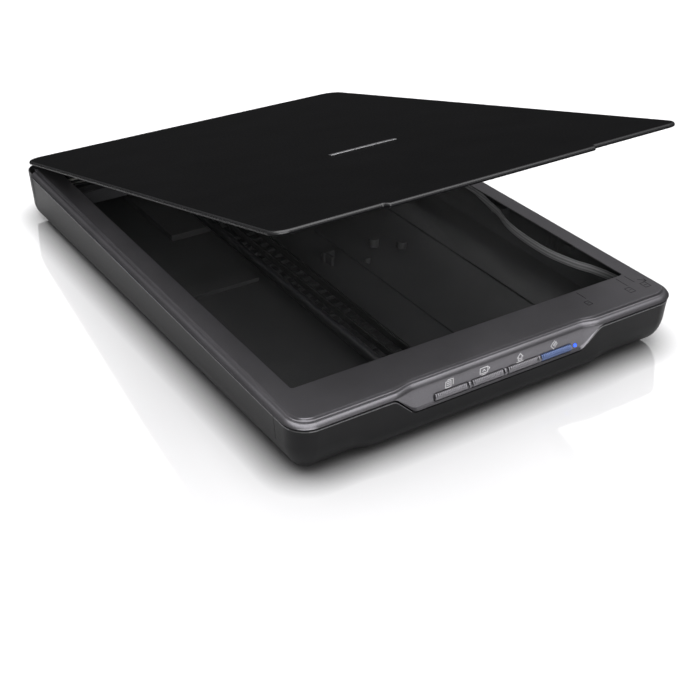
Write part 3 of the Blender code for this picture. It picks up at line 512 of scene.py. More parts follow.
def tub():
    """The lower case: one moulding with drafted walls and a lower edge that is rounded more in front."""
    stations = perimeter(
        NOTCH_X + [-91, -87.5, -84, -80.5, -77, -30, 0, 30, 70.7, 77],
        [-140, -100, -50, 0, 50, 100, 140, REAR_SPLIT_Y - 0.4, REAR_SPLIT_Y + 0.1],
    )

    def outermost(station):
        return plan_point(station, CASE_HALF, CASE_CORNER, 0.0)

    def top_of(station):
        return case_top(*outermost(station))

    def is_rear(station):
        return top_of(station) > CASE_TOP + 1

    def wall_inset(station, level):
        x, y = outermost(station)
        foot = CASE_BOTTOM + fillet_height(x, y)
        rear = 1.0 if y > REAR_SPLIT_Y - 0.1 else 0.0
        return DRAFT + share(level, foot, REAR_TOP) * (GAP * (1 - rear) - DRAFT)

    def ring(turn, inner):
        """One line round the lower edge's rounding, outside (inner 0) or inside (inner 1)."""
        points = []
        for station in stations:
            height = fillet_height(*outermost(station))
            depth = 4.0 + 0.4 * height
            inset = DRAFT + depth * (1 - math.cos(turn)) + inner * WALL * math.cos(turn)
            lift = inner * (FLOOR_TOP - CASE_BOTTOM) * math.sin(turn)
            level = CASE_BOTTOM + height * (1 - math.sin(turn)) + lift
            points.append((*plan_point(station, CASE_HALF, CASE_CORNER, inset), level))
        return points

    def wall(down, inward):
        """One line round the wall's top, so far down and inward; 1.0 inward means the inner side."""
        points = []
        for station in stations:
            level = top_of(station) - down
            thick = inward
            if inward > REAR_WALL:
                thick = REAR_WALL if is_rear(station) else WALL
            inset = wall_inset(station, level) + thick
            points.append((*plan_point(station, CASE_HALF, CASE_CORNER, inset), level))
        return points

    def ledge(inward, level):
        """Where the thin rear wall thickens again; elsewhere it is just a line down the inner wall."""
        points = []
        for station in stations:
            tall = is_rear(station)
            z = level if tall else min(top_of(station) - LOW_WALL + level, level)
            inset = wall_inset(station, z) + (inward if tall else WALL)
            points.append((*plan_point(station, CASE_HALF, CASE_CORNER, inset), z))
        return points

    turns = [math.radians(90 * i / 12) for i in range(13)]
    rings = [ring(turn, 1) for turn in reversed(turns)]
    rings += [ledge(WALL, 22.6), ledge(REAR_WALL, 23.1), wall(0.5, 1.0), wall(0.0, 0.75)]
    rings += [wall(0.0, 0.4), wall(0.1, 0.16), wall(0.3, 0.02), wall(0.55, 0.0)]
    rings += [ring(turn, 0) for turn in turns]
    bm = bmesh.new()
    loft(bm, rings)
    made = to_object("base_tub", bm)

    under = FLOOR_TOP - 1.0
    right_ribs, left_ribs = (-85, -80, -75, -20, 20, 60), (-85, -40, 5, 50, 95)
    joins = [
        prism(((152, under), (180.0, under), (180.0, 14.2), (158, FLOOR_TOP + GAP)), "x", -118.5, 118.5),
        boxes(((-66, 66), (76, 158.5), (under, 9.0))),
        # The belt's channel: two rails with rungs between them.
        boxes(*[((x - 0.8, x + 0.8), (-155, 75), (under, 8.4)) for x in (-35.6, -14.4)]),
        boxes(*[((-35.2, -14.8), (y - 0.8, y + 0.8), (under, 7.2)) for y in range(-150, 66, 9)]),
        # Steps in the floor, then the guide rod's holders.
        boxes(((-92, -44), (0, 13), (under, 7.4)), ((-10, -6), (-150, 74), (under, 6.4))),
        boxes(((79.5, 117.5), (-150, 120), (under, 6.2)), ((20, 24), (-118, 40), (under, 6.0))),
        boxes(
            ((ROD_X - 5, ROD_X + 5), (-168, -164.4), (under, ROD_Z + 1)),
            ((ROD_X - 5, ROD_X + 5), (162.2, 165.2), (under, ROD_Z + 1)),
        ),
        # Pillars and bosses, the cable's hook, the rear pulley's pin and the screws' towers.
        rods(
            "z", 2.0, (-4.5, -168, under, 8.7), (-4.5, -159.5, under, 8.7),
            (25.6, -15.3, under, 8.6), (74, -171.5, 4.6, 11.0), (74, -165, under, 11.0),
            (114, -168, under, 11.0),
        ),
        rods("z", 3.4, (41.5, 1.4, under, 10.6), (55.8, -9.5, under, 9.4)),
        boxes(((2, 10), (-1, 2.4), (under, 11.5))),
        boxes(((3.4, 5.4), (-8, 0), (under, 11.2))),
        rods("z", 1.5, (PULLEY_X, REAR_PULLEY_Y, under, 16.6)),
        rods(
            "z", 4.2, (-62, -166, under, 16.0), (62, -166, under, 16.0),
            (-40, 172.5, 6.0, 22.9), (40, 172.5, 6.0, 22.9),
        ),
        # The sensor cable's post, ribs on both walls, a clip, and the frame's front hooks.
        boxes(((115.6, 122.2), (-36, -30), (17.5, 27.0))),
        boxes(*[((119.0, 122.2), (y - 0.6, y + 0.6), (17.5, 27.0)) for y in right_ribs]),
        boxes(*[((-122.2, -119.0), (y - 0.6, y + 0.6), (17.5, 27.0)) for y in left_ribs]),
        boxes(((118.2, 122.2), (-98, -92), (22.0, 26.6))),
        boxes(((-52, -48), (-176.8, -172.6), (7.5, 14.0)), ((53, 57.2), (-176.8, -172.6), (7.5, 14.0))),
    ]
    screw_low = [(-62, -166, 0, 5.9), (62, -166, 0, 5.9), (-40, 172.5, 5, 12.4), (40, 172.5, 5, 12.4)]
    screw_high = [(x, y, 0, 14.5 if y < 0 else 21.0) for x, y, _, _ in screw_low]
    cuts = [
        prism(((140, -5), (158, CASE_BOTTOM), (182, 12.2), (190, 15.4), (190, -5)), "x", -130, 130),
        boxes(((-59.5, 59.5), (78.5, 155.0), (-1, 7.0))),
        rods("x", 1.6, (STAND_Y, STAND_Z, -63.5, 63.5)),
        rods("y", 3.25, (ROD_X, ROD_Z, -167.4, 167)),
        rods("z", 1.8, *screw_high),
        rods("z", 3.2, *screw_low),
        rods("z", 7.5, *[(x, y, 0, CASE_BOTTOM + 0.35) for x in (-98, 98) for y in (-148, 132)]),
        boxes(((116, 130), (-167.4, -158.6), (12.8, 16.6))),
        boxes(*[((x - 0.8, x + 0.8), (-160.15, -159.85), (4.0, 40)) for x in (-123.6, 123.6)]),
        boxes(((-130, -113), (151.0, 158.6), (-1, 4.4)), ((113, 130), (151.0, 158.6), (-1, 4.4))),
    ]
    carve(made, cuts, joins)
    finish_with(made, FINISH["case_plastic"], BAY_PAINTED_LIGHT, CASE_EDGE_HIGHLIGHT)
    # Outside faces keep the case's finish; the bay inside is duller and painted lighter than the outside, as
    # painted light; and the upper edge gets a lighter colour as a painted highlight, with more gloss.
    for face in made.data.polygons:
        middle = face.center / MM
        inset = min(CASE_HALF[0] - abs(middle.x), CASE_HALF[1] - abs(middle.y))
        rim = inset < (FILLET_DEPTH if middle.z < FILLET_TOP else WALL_DEPTH)
        outward = face.normal.z < -0.02 or (rim and face.normal.dot(Vector((middle.x, middle.y, 0))) > 0)
        pocket = (
            abs(middle.x) < STAND_POCKET_X and middle.z < STAND_POCKET_TOP
            and STAND_POCKET_Y[0] < middle.y < STAND_POCKET_Y[1]
        )
        face.material_index = 0 if outward or pocket or middle.z < CASE_BOTTOM + 0.4 else 1
        if outward and abs(middle.z - case_top(middle.x, middle.y) + 0.3) < 0.32:
            face.material_index = 2
    polish(made, 32)
    weight(made)
    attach(made, "base")
    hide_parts("lower_case")


def weight(made):
    """Flat faces keep their own normals, so the small roundings beside them read cleanly."""
    step = made.modifiers.new("normals", "WEIGHTED_NORMAL")
    step.keep_sharp = True
    step.weight = 60


# Each row is the frame's section: (inset, height) on the plain edge, the same on the button
# panel, and how far the row follows the panel's foot rather than the softer line of its shoulder.
FRAME_SECTION = (
    ((5.6, 34.80), (7.6, 34.80), 0.0),
    ((4.95, 34.79), (6.95, 34.79), 0.0),
    ((4.62, 34.70), (6.62, 34.70), 0.0),
    ((4.42, 34.48), (6.42, 34.48), 0.0),
    ((4.34, 34.15), (6.32, 34.15), 0.0),
    ((4.26, 33.75), (6.22, 33.80), 0.0),
    ((4.10, 33.42), (6.05, 33.50), 0.0),
    ((3.80, 33.22), (5.75, 33.32), 0.0),
    ((3.40, 33.14), (5.35, 33.25), 0.0),
    ((2.95, 33.12), (4.95, 33.22), 0.0),
    ((2.45, 33.02), (4.55, 33.08), 0.0),
    ((1.95, 32.83), (4.05, 32.80), 0.0),
    ((1.45, 32.53), (3.45, 32.38), 0.0),
    ((0.95, 32.13), (2.95, 31.92), 0.05),
    ((0.50, 31.68), (2.55, 31.45), 0.15),
    ((0.20, 31.30), (2.28, 30.90), 0.3),
    ((0.03, 31.05), (2.10, 28.50), 0.5),
    ((0.0, 30.95), (1.92, 24.0), 0.8),
    ((0.06, 30.88), (1.75, 20.4), 1.0),
    ((0.14, 30.84), (0.85, 19.5), 1.0),
    ((0.3, 30.81), (0.5, 19.0), 1.0),
    ((0.7, 30.8), (0.8, 18.65), 1.0),
    ((2.95, 30.8), (2.3, 18.6), 1.0),
    ((3.1, 27.5), (4.2, 29.5), 1.0),
    ((4.8, 27.5), (5.8, 30.2), 1.0),
    ((4.9, 31.6), (6.6, 31.8), 1.0),
)


def bed_frame():
    """The top ring: its outer section runs into the button panel, its inner edge holds the glass."""
    stations = perimeter(NOTCH_X + [-60, 60, -40, 40, 0], [-100, 0, 100], steps=14)
    rings = []
    for plain, panel, follow in FRAME_SECTION:
        ring = []
        for station in stations:
            weight_here = 0.0
            if station[0] == "front":
                soft = eased(share(abs(station[2]), PANEL_TOP_X - 0.5, PANEL_FOOT_X - 0.5))
                weight_here = soft + follow * (notch_share(station[2]) - soft)
            inset, level = (a + weight_here * (b - a) for a, b in zip(plain, panel))
            ring.append((*plan_point(station, CASE_HALF, CASE_CORNER, inset), level))
        rings.append(ring)
    window = ((GLASS_X[1] - GLASS_X[0]) / 2, (GLASS_Y[1] - GLASS_Y[0]) / 2)
    middle = (sum(GLASS_X) / 2, sum(GLASS_Y) / 2)
    lip = GLASS_TOP + 0.85
    for grow, level in (
        (GLASS_UNDER, 31.8), (GLASS_UNDER, lip), (0, lip),
        (0, BED_Z - 0.45), (0.13, BED_Z - 0.13), (0.45, BED_Z),
    ):
        rings.append([(*plan_point(s, window, 1.5, -grow, middle), level) for s in stations])
    bm = bmesh.new()
    loft(bm, rings, wrap=True)
    made = to_object("bed_frame", bm)
    cuts = [boxes(((-130, 130), (REAR_SPLIT_Y - GAP, 190), (20, 50)))]
    for low, high in BUTTON_ENDS:
        slot = rounded((low + high) / 2, BUTTON_Z, (high - low) / 2 + 0.6, BUTTON_R + 0.35, 1.2)
        cuts.append(prism(slot, "y", -190, -174))
    cuts.append(rods("y", 1.35, (LAMP_X, BUTTON_Z, -190, -174)))
    carve(made, cuts)
    finish_with(made, FINISH["frame_plastic"])
    polish(made, 30)
    weight(made)
    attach(made, "base")
    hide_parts("upper_frame")
    for number, ((_, end), (start, _)) in enumerate(zip(BUTTON_ENDS, BUTTON_ENDS[1:]), 1):
        x = (end + start) / 2
        draw(
            f"button_spacer_{number}", "base", "frame_plastic",
            lambda bm, x=x: bar(bm, x - 0.95, x + 0.95, 0.0),
        )


def bar(bm, low, high, ribs):
    """A half-round bar along X with a flat back, and slanting ribs round it."""
    arc = [math.pi * i / 16 for i in range(17)]
    centre_y = BUTTON_R - CASE_HALF[1]

    def ring(x, radius, lean=0.0):
        points = [(
            x + lean * (a / math.pi - 0.5), centre_y - radius * math.sin(a), BUTTON_Z - radius * math.cos(a),
        ) for a in arc]
        return points + [
            (x + lean / 2, BUTTON_BACK_Y, BUTTON_Z + radius),
            (x - lean / 2, BUTTON_BACK_Y, BUTTON_Z - radius),
        ]

    rings = [ring(low, BUTTON_R - 0.45), ring(low + 0.12, BUTTON_R - 0.16), ring(low + 0.4, BUTTON_R)]
    if ribs:
        for i in range(1, int((high - low - 1.2) / RIB_STEP)):
            x = low + 0.6 + RIB_STEP * i
            lean = 1.3 * min(1.0, (x - low - 0.5) / 1.6, (high - 0.5 - x) / 1.6)
            rings.append(ring(x, BUTTON_R - (0.0, 0.02, ribs, ribs)[i % 4], lean))
    rings += [ring(high - 0.4, BUTTON_R), ring(high - 0.12, BUTTON_R - 0.16), ring(high, BUTTON_R - 0.45)]
    loft(bm, rings)


# The panel's flat face, as two (inset, height) points of its section.
PANEL_FACE = ((1.92, 24.0), (2.10, 28.5))


def panel_frame(x, z):
    """Where flat artwork (right, up) lies on the sloping button panel."""
    (low_inset, low_z), (high_inset, high_z) = PANEL_FACE
    inset = low_inset + (z - low_z) / (high_z - low_z) * (high_inset - low_inset)
    up = Vector((0, high_inset - low_inset, high_z - low_z)).normalized()
    right = Vector((1, 0, 0))
    out = right.cross(up)
    turn = Matrix((right, up, out)).transposed().to_4x4()
    return Matrix.Translation(Vector((x, inset - CASE_HALF[1], z)) * MM) @ turn


def stroke(bm, points, width=INK_WIDTH, closed=False):
    """A printed line of even width through flat points."""
    pairs = list(zip(points, points[1:] + points[:1])) if closed else list(zip(points, points[1:]))
    for (ax, ay), (bx, by) in pairs:
        run = math.hypot(bx - ax, by - ay)
        ux, uy = (bx - ax) / run * width / 2, (by - ay) / run * width / 2
        add_prism(bm, (
            (ax - ux + uy, ay - uy - ux), (bx + ux + uy, by + uy - ux),
            (bx + ux - uy, by + uy + ux), (ax - ux - uy, ay - uy + ux),
        ), "z", INK_LOW, INK_HIGH)


def pictograms():
    """Plain task signs over the buttons: pages, screen, sheet with arrow, and a start sign."""
    pages = [
        ([(-2.4, -2.0), (0.9, -2.0), (0.9, 1.5), (-2.4, 1.5)], True),
        ([(-1.2, 2.4), (2.3, 2.4), (2.3, -1.0)], False),
        ([(-1.5, 0.4), (0.1, 0.4)], False), ([(-1.5, -0.7), (0.1, -0.7)], False),
    ]
    screen = [
        ([(-2.9, -1.3), (2.0, -1.3), (2.0, 2.0), (-2.9, 2.0)], True),
        ([(-1.6, -2.2), (0.8, -2.2)], False),
        ([(-1.2, -0.2), (-0.4, 0.9), (0.5, -0.2)], False), ([(2.6, 1.4), (3.3, 0.7), (2.6, 0.0)], False),
    ]
    sheet = [
        ([(-1.9, 0.2), (0.0, 2.4), (1.9, 0.2)], False),
        ([(-1.2, 0.3), (-1.2, -1.6), (1.2, -1.6), (1.2, 0.3)], False),
        ([(-2.2, -2.4), (2.2, -2.4)], False), ([(-0.5, -0.6), (0.5, -0.6)], False),
    ]
    start = [
        ([(0.2, -2.6), (-2.2, 0.0), (0.2, 2.6)], False), ([(-0.6, 0.0), (1.2, 1.9)], False),
        ([(0.6, -1.4), (2.2, 0.4)], False), ([(0.0, -0.4), (1.6, 1.2)], False),
    ]
    for number, (x, sign) in enumerate(zip(SIGN_X, (pages, screen, sheet, start)), 1):

        def drawer(bm, sign=sign):
            for points, closed in sign:
                stroke(bm, points, closed=closed)

        place = panel_frame(x, SIGN_Z)
        draw(f"task_sign_{number}", "base", "frame_plastic", drawer, finish=PRINT_LIGHT, at=place)


def size_marks():
    """Paper-size ticks on the bed's front ledge, each with a small blank page sign."""
    top = Matrix.Translation((0, 0, BED_Z * MM))

    def drawer(bm):
        for x, long in ((73.5, 7.5), (103.0, 9.0), (109.3, 8.0)):
            stroke(bm, [(x, -153.4), (x, -153.4 - long)], 0.35)
        for x, y, half in ((71.4, -165.4, 1.5), (101.0, -166.8, 1.9), (112.6, -166.8, 1.9)):
            page = [(x - half, y - half * 1.3), (x + half, y - half * 1.3), (x + half, y + half * 1.3)]
            stroke(bm, [*page, (x - half, y + half * 1.3)], 0.3, closed=True)
            stroke(bm, [(x - half * 0.4, y), (x + half * 0.4, y)], 0.3)
        stroke(bm, [(113.0, -160.0), (116.4, -163.6)], 0.35)
        stroke(bm, [(116.4, -161.4), (116.4, -163.6), (114.2, -163.6)], 0.35)

    draw("size_marks", "base", "frame_plastic", drawer, finish=PRINT_DARK, at=top)


def buttons():
    """The four ribbed buttons, the last one painted blue as the status light's glow on it, and the status
    light beside them.
    """
    for number, (low, high) in enumerate(BUTTON_ENDS, 1):
        draw(
            f"ribbed_button_{number}", f"button_{number}", "frame_plastic",
            lambda bm, low=low, high=high: bar(bm, low, high, RIB_DEPTH), replaces=(f"button_{number}",),
            smooth=50, finish=BUTTON_GLOW if number == len(BUTTON_ENDS) else None,
        )

    def lens(bm):
        section = (
            (-175.2, 1.1), (-180.1, 1.1), (-180.5, 1.02), (-180.8, 0.8), (-180.95, 0.45), (-181.0, 0.12),
        )
        loft(bm, [[(x, y, z) for x, z in circle(LAMP_X, BUTTON_Z, r, 24)] for y, r in section])

    draw("status_lens", "base", "lamp", lens, replaces=("status_light_pipe",))


def curve_through(points, steps):
    """A smooth curve through the points."""
    ends = [points[0], *points, points[-1]]
    route = []
    for a, b, c, d in zip(ends, ends[1:], ends[2:], ends[3:]):
        for step in range(steps):
            t = step / steps
            route.append(tuple(
                0.5 * (2 * q + (r - p) * t + (2 * p - 5 * q + 4 * r - s) * t * t
                       + (3 * q - p - 3 * r + s) * t ** 3)
                for p, q, r, s in zip(a, b, c, d)
            ))
    return [*route, points[-1]]


def band(bm, route, rise=None):
    """A flat cable on its edge along a route, with its two edges a little rounded."""
    section = (
        (-0.5, CABLE_LOW + 0.12), (-0.25, CABLE_LOW), (0.25, CABLE_LOW), (0.5, CABLE_LOW + 0.12),
        (0.5, CABLE_HIGH - 0.12), (0.25, CABLE_HIGH), (-0.25, CABLE_HIGH), (-0.5, CABLE_HIGH - 0.12),
    )
    rings = []
    for i, (x, y) in enumerate(route):
        before, after = route[max(i - 1, 0)], route[min(i + 1, len(route) - 1)]
        run = math.hypot(after[0] - before[0], after[1] - before[1])
        nx, ny = (after[1] - before[1]) / run, (before[0] - after[0]) / run
        up = rise(y) if rise else 0.0
        rings.append([
            (x + nx * side * CABLE_THICK, y + ny * side * CABLE_THICK, z + up) for side, z in section
        ])
    loft(bm, rings)


def sensor_cable():
    """The cable bows into the bay in front of its post, and runs on along the wall to the carriage."""
    front = curve_through([
        (114.8, -153.2), (115.4, -140.0), (112.2, -125.5), (107.4, -113.3), (103.6, -95.0), (103.8, -72.0),
        (106.8, -52.0), (112.4, -36.0), (114.3, CABLE_JOIN_Y),
    ], 10)
    made = draw(
        "sensor_cable_front", "base", "ribbon", lambda bm: band(bm, front), replaces=("sensor_ribbon",)
    )
    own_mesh(made)
    rear = curve_through([
        (114.3, CABLE_JOIN_Y), (117.0, -5.0), (117.4, 40.0), (117.2, 90.0), (116.2, 125.0),
        (114.2, 139.0), (113.6, 141.5),
    ], 16)

    def rise(y):
        """The cable lies higher, behind the frame's ledge, between the post and the carriage."""
        return CABLE_RISE * eased(share(y, CABLE_JOIN_Y, 2.0)) * eased(share(y, 134.0, 112.0))

    bm = bmesh.new()
    band(bm, rear, rise)
    made = to_object("sensor_cable_rear", bm)
    finish_with(made, FINISH["ribbon"])
    polish(made, 35)
    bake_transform(made)


def feet():
    """Four rubber feet, each with a shallow dish underneath."""
    section = (
        (2.3, 6.9), (0.7, 7.0), (0.25, 6.85), (0.05, 6.5), (0.0, 6.1), (0.0, 5.0), (0.25, 4.7), (0.25, 1.0),
    )
    for number, (x, y) in enumerate(((-98, -148), (98, -148), (98, 132), (-98, 132)), 1):

        def drawer(bm, x=x, y=y):
            loft(bm, [[(px, py, z) for px, py in circle(x, y, r, 48)] for z, r in section])

        draw(f"rubber_foot_{number}", "base", "rubber", drawer, replaces=(f"foot_{number}",))


def screws():
    """Four case screws with a cross slot."""
    section = ((0.0, 2.2), (0.25, 2.6), (0.6, 2.8), (2.0, 2.8), (2.0, 1.4), (10.0, 1.4))
    places = ((-62, -166, 3.4), (62, -166, 3.4), (-40, 172.5, 9.9), (40, 172.5, 9.9))
    for number, (x, y, low) in enumerate(places, 1):

        def drawer(bm, x=x, y=y, low=low):
            loft(bm, [[(px, py, low + up) for px, py in circle(x, y, r, 32)] for up, r in section])

        made = draw(f"cross_screw_{number}", "base", "steel", drawer, replaces=(f"case_screw_{number}",))
        carve(made, [
            boxes(((x - 1.7, x + 1.7), (y - 0.35, y + 0.35), (low - 1, low + 0.9))),
            boxes(((x - 0.35, x + 0.35), (y - 1.7, y + 1.7), (low - 1, low + 0.9))),
        ])
        polish(made, 35)


# ---------------------------------------------------------------- lid and stand

LID_TURN = (
    Matrix.Translation(Vector((0, HINGE_Y, HINGE_Z)) * MM)
    @ Matrix.Rotation(-LID_OPEN, 4, "X")
    @ Matrix.Translation(Vector((0, -HINGE_Y, -HINGE_Z)) * MM)
)
# The lid's edge from its hollow round the outside to the top, as (inset, height).
LID_SECTION = (
    (6.5, 38.3), (6.5, LID_UNDER), (5.3, LID_UNDER), (4.9, 35.74), (3.0, 36.05), (1.2, 36.42), (0.55, 36.6),
    (0.2, 36.8), (0.04, 37.1), (0.0, 37.45), (0.06, 37.8), (0.2, 38.12), (0.42, 38.4), (0.72, 38.64),
    (1.08, 38.82), (1.5, 38.93), (1.95, 38.985), (2.4, LID_TOP),
)


def lid_plan(station, inset):
    """The lid's outline, with the grip standing out in the middle of the front."""
    half = (LID_X, (LID_REAR_Y - LID_FRONT_Y) / 2)
    centre = (0.0, (LID_REAR_Y + LID_FRONT_Y) / 2)
    rear = station[0] == "corner" and station[1][1] > 0
    x, y = plan_point(station, half, LID_REAR_CORNER if rear else LID_FRONT_CORNER, inset, centre)
    if station[0] == "front":
        proud = min(share(x, LID_GRIP[0], LID_GRIP[1]), share(x, LID_GRIP[3], LID_GRIP[2]))
        y -= (LID_FRONT_Y - LID_GRIP_Y) * eased(proud)
    return x, y


def lid():
    """The lid shell with its lining, foam, mat and badge, drawn shut and turned open together."""
    grip = [a + (b - a) * i / 6 for a, b in (LID_GRIP[:2], LID_GRIP[2:]) for i in range(7)]
    stations = perimeter(grip, [], steps=14)
    rings = [[(*lid_plan(s, inset), z) for s in stations] for inset, z in LID_SECTION]
    bm = bmesh.new()
    loft(bm, rings)
    made = to_object("lid_shell", bm)
    wells = [((s * POST_X - 14.5, s * POST_X + 14.5), (166.0, 190.0), (30, 37.3)) for s in (-1, 1)]
    carve(made, [boxes(*wells)])
    finish_with(made, FINISH["lid_plastic"], LID_EDGE_HIGHLIGHT)
    # Faces round the lid's upper edge take the painted highlight.
    for face in made.data.polygons:
        middle = face.center / MM
        well = middle.y > 160 and abs(abs(middle.x) - POST_X) < 16
        face.material_index = 1 if not well and 0.15 < face.normal.z < 0.93 and middle.z > 36.7 else 0
    made.data.transform(LID_TURN)
    polish(made, 30)
    weight(made)
    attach(made, "lid")
    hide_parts("lid_cover")

    def slab(centre, half, radius, section, tighten=0.0):
        """A rounded rectangle lofted through (inset, height) rows."""
        return lambda bm: loft(bm, [[(x, y, z) for x, y in rounded(
            *centre, half[0] - inset, half[1] - inset, radius - tighten * inset,
        )] for inset, z in section])

    def lid_piece(name, slot, node, drawer, finish=None):
        return draw(name, "lid", slot, drawer, replaces=(node,), finish=finish, at=LID_TURN)

    lining = slab(
        (0, -2.0), (LID_X - 6.9, 166.0), 3.0,
        ((0.0, 37.9), (0.0, 36.9), (0.3, 36.6), (5.0, 36.6), (5.4, 36.9), (8.0, 36.9)),
    )
    lid_piece("lid_lining", "inner_plastic", "lid_liner", lining)
    mat_centre, mat_half = (sum(GLASS_X) / 2, -1.0), (107.0, 147.5)
    foam_rows = ((0.5, 36.3), (0.1, 36.0), (0.0, 35.4), (0.1, 34.8), (0.5, 34.4))
    foam_pad = lid_piece(
        "foam_backing", "foam", "document_pad_foam", slab(mat_centre, mat_half, 2.4, foam_rows)
    )
    mat_rows = ((0.3, 34.1), (0.05, 34.0), (0.0, 33.8), (0.1, 33.6), (0.5, 33.5))
    scan_mat = lid_piece(
        "scan_mat", "white_film", "document_mat", slab(mat_centre, mat_half, 2.0, mat_rows), MAT_SHADED
    )
    badge_rows = ((0.0, 39.02), (0.0, 39.15), (0.12, 39.25), (0.4, 39.28))
    badge = slab((6.0, -47.1), (22.4, 1.7), 0.5, badge_rows, 0.5)
    lid_piece("blank_badge", "badge_metal", "lid_badge", badge)


def stand():
    """A flat hoop with round ends on its axis, stub pins and a finger groove."""
    outer, inner = STAND_X, STAND_X - 12
    outline = [
        (-outer, STAND_Y), (-outer, 87.0), (-outer + 0.9, 84.9), (-outer + 3.0, 84.0),
        (outer - 3.0, 84.0), (outer - 0.9, 84.9), (outer, 87.0), (outer, STAND_Y),
        (inner, STAND_Y), (inner, 102.0), (inner - 0.6, 100.6), (inner - 2.0, 100.0),
        (-inner + 2.0, 100.0), (-inner + 0.6, 100.6), (-inner, 102.0), (-inner, STAND_Y),
    ]
    bm = bmesh.new()
    add_prism(bm, outline, "z", STAND_Z - STAND_R, STAND_Z + STAND_R)
    made = to_object("folding_stand", bm)
    axis = (STAND_Y, STAND_Z)
    carve(made, cuts=[boxes(((-40, 40), (86.5, 90.0), (2.0, STAND_Z - STAND_R + 0.6)))], joins=[
        rods("x", STAND_R, (*axis, -outer, -inner), (*axis, inner, outer)),
        rods("x", 1.25, (*axis, -62.5, 3 - outer), (*axis, outer - 3, 62.5)),
    ])
    finish_with(made, FINISH["case_plastic"])
    polish(made, 35)
    soften(made, 0.35)
    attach(made, "stand")
    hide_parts("kick_stand")


# ---------------------------------------------------------------- carried-over nodes, stage, light


def carried_nodes():
    """Gives every CAD node its slot's material; the guide rod has a duller one of its own."""
    for row in frame["record"]["subparts"]:
        node = frame["nodes"][row["node"]]
        finish_with(node, ROD_STEEL if row["node"] == "guide_rod" else FINISH[row["material_slot"]])
        for face in node.data.polygons:
            face.material_index = 0


# The camera's place in metres, the way it looks and its roll in degrees.
CAMERA_AT, CAMERA_AIM, CAMERA_ROLL = (-0.3565, -0.5906, 0.3747), (0.457, 0.712, -0.533), 0.264
CAMERA_LENS, CAMERA_FILM = 63.8, 36.0
# The floor's two radii. The lid doesn't mirror the outer ring.
FLOOR_NEAR, FLOOR_FAR = 300, 740
# How far in metres, and how strongly, a painted shadow darkens the floor round the object.
SHADOW_REACH, SHADOW_POWER = 0.019, 1.5
# The light that the floor mirrors towards the camera: its strength, two lengths in metres, and the
# shares of its width at which it starts to fade and is gone.
SHEEN, SHEEN_RADIUS, SHEEN_DISTANCE = 1.6, 2.0, 2.0
SHEEN_FADE = (0.22, 0.5)
SHEEN_AIM = (CAMERA_AIM[0], CAMERA_AIM[1], -CAMERA_AIM[2])
# Each soft light: where it is seen, the angles at which it is full and gone, and its strength.
ROOM = 0.03
SOFT_LIGHTS = (
    ((0, 0, 1), 30, 46, 2.65),
    ((0.1, 0.3, 0.9), 50, 66, 0.15),
    ((-0.1, -0.9, 0.42), 14, 24, 3.2),
    ((-0.62, -0.72, 0.3), 9, 22, 4.4),
)


def floor():
    """A pale, slightly glossy disc and a ring round it, with painted shadow where the object touches it."""
    n = Nodes("pale_floor")
    # Painted shadow: the floor's colour darkens where the object blocks the open sky round it.
    occlusion = n.add("ShaderNodeAmbientOcclusion", Distance=SHADOW_REACH)
    open_sky = n.power(occlusion.outputs["AO"], SHADOW_POWER)
    pale = n.mix(n.noise(6, 2.0), (0.82, 0.82, 0.825), (0.84, 0.84, 0.845))
    n.set(
        Base_Color=n.mix(open_sky, (0.03, 0.03, 0.03), pale),
        Roughness=n.spread(n.noise(40, 2.0), 0.05, 0.08), Specular_IOR_Level=0.8,
    )
    near, far = ([(x, y, 0) for x, y in circle(0, 0, radius, 96)] for radius in (FLOOR_NEAR, FLOOR_FAR))
    bm = bmesh.new()
    bm.faces.new([bm.verts.new(point) for point in near])
    under = to_object("floor_near", bm)
    bm = bmesh.new()
    loft(bm, [near, far], caps=False)
    around = to_object("floor_far", bm)
    around.visible_glossy = False
    for made in (under, around):
        if made.data.polygons[0].normal.z < 0:
            made.data.flip_normals()
        made.data.materials.append(n.material)
    sheen_light((under, around))


def ramp(tree, value, start, end, low, high):
    """Eases a value's span from start to end into low to high."""
    node = tree.nodes.new("ShaderNodeMapRange")
    node.interpolation_type = "SMOOTHSTEP"
    for socket, level in (("From Min", start), ("From Max", end), ("To Min", low), ("To Max", high)):
        node.inputs[socket].default_value = level
    tree.links.new(value, node.inputs["Value"])
    return node.outputs[0]


def sheen_light(floors):
    """A wide light behind the object that only the floor mirrors, so the floor mirrors the case too."""
    data = bpy.data.lights.new("sheen_light", "AREA")
    data.shape = "DISK"
    data.size = 2 * SHEEN_RADIUS
    data.energy = SHEEN * math.pi * math.pi * SHEEN_RADIUS ** 2
    data.use_nodes = True
    tree = data.node_tree
    place = tree.nodes.new("ShaderNodeNewGeometry").outputs["Parametric"]
    from_middle = tree.nodes.new("ShaderNodeVectorMath")
    from_middle.operation = "DISTANCE"
    from_middle.inputs[1].default_value = (0.5, 0.5, 0.0)
    tree.links.new(place, from_middle.inputs[0])
    fade = ramp(tree, from_middle.outputs["Value"], *SHEEN_FADE, 1.0, 0.0)
    tree.links.new(fade, tree.nodes["Emission"].inputs["Strength"])
    made = bpy.data.objects.new("sheen_light", data)
    bpy.context.scene.collection.objects.link(made)
    away = Vector(SHEEN_AIM).normalized()
    turn = away.to_track_quat("Z", "Y").to_matrix().to_4x4()
    made.matrix_world = Matrix.Translation(away * SHEEN_DISTANCE) @ turn
    made.visible_camera = False
    made.visible_diffuse = False
    only = bpy.data.collections.new("floor_only")
    for each in floors:
        only.objects.link(each)
    made.light_linking.receiver_collection = only


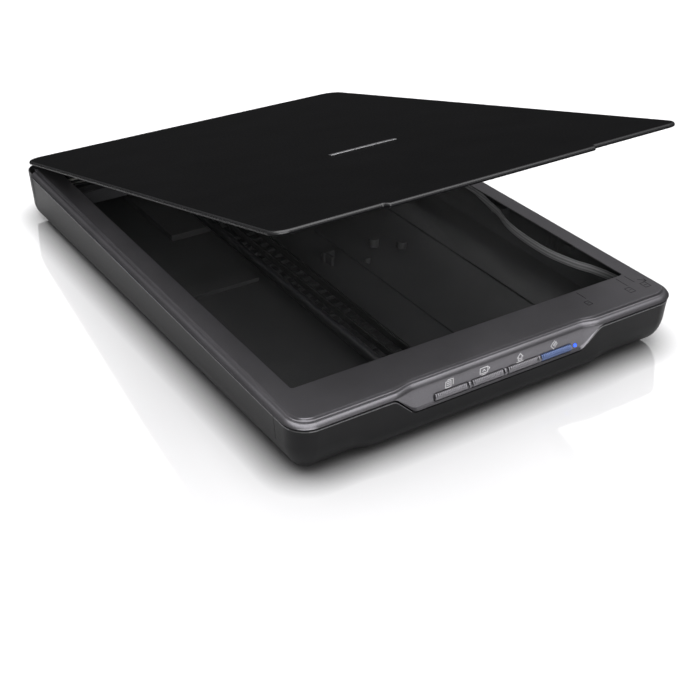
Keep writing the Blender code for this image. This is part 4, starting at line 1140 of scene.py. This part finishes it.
def studio():
    """White behind the object for the camera; all other rays see a dim room with wide soft lights."""
    world = bpy.data.worlds.new("studio")
    bpy.context.scene.world = world
    world.use_nodes = True
    tree = world.node_tree
    tree.nodes.clear()
    place = tree.nodes.new("ShaderNodeTexCoord").outputs["Generated"]

    def soft_light(aim, inner, outer, power, before=None):
        """Adds a round light seen within outer degrees of aim, full within inner degrees."""
        dot = tree.nodes.new("ShaderNodeVectorMath")
        dot.operation = "DOT_PRODUCT"
        dot.inputs[1].default_value = Vector(aim).normalized()
        tree.links.new(place, dot.inputs[0])
        start, end = math.cos(math.radians(outer)), math.cos(math.radians(inner))
        glow = ramp(tree, dot.outputs["Value"], start, end, 0.0, power)
        total = tree.nodes.new("ShaderNodeMath")
        total.operation = "ADD"
        total.inputs[1].default_value = ROOM
        if before:
            tree.links.new(before, total.inputs[1])
        tree.links.new(glow, total.inputs[0])
        return total.outputs[0]

    level = None
    for row in SOFT_LIGHTS:
        level = soft_light(*row, before=level)
    lit = tree.nodes.new("ShaderNodeBackground")
    lit.inputs[0].default_value = (1.0, 0.995, 1.0, 1)
    tree.links.new(level, lit.inputs[1])
    seen = tree.nodes.new("ShaderNodeBackground")
    seen.inputs[0].default_value = (1, 1, 1, 1)
    pick = tree.nodes.new("ShaderNodeMixShader")
    rays = tree.nodes.new("ShaderNodeLightPath")
    out = tree.nodes.new("ShaderNodeOutputWorld")
    tree.links.new(rays.outputs["Is Camera Ray"], pick.inputs[0])
    tree.links.new(lit.outputs[0], pick.inputs[1])
    tree.links.new(seen.outputs[0], pick.inputs[2])
    tree.links.new(pick.outputs[0], out.inputs[0])


def camera():
    """The photo's camera, solved from the corners of the case and of the glass."""
    data = bpy.data.cameras.new("camera")
    data.lens = CAMERA_LENS
    data.sensor_width = CAMERA_FILM
    data.clip_start = 0.01
    made = bpy.data.objects.new("camera", data)
    bpy.context.scene.collection.objects.link(made)
    forward = Vector(CAMERA_AIM).normalized()
    turn = forward.to_track_quat("-Z", "Y").to_matrix() @ Matrix.Rotation(math.radians(CAMERA_ROLL), 3, "Z")
    made.matrix_world = Matrix.Translation(CAMERA_AT) @ turn.to_4x4()
    bpy.context.scene.camera = made


carried_nodes()
tub()
bed_frame()
pictograms()
size_marks()
buttons()
sensor_cable()
feet()
screws()
lid()
stand()
floor()
studio()
camera()
bpy.context.scene.view_settings.view_transform = "Standard"
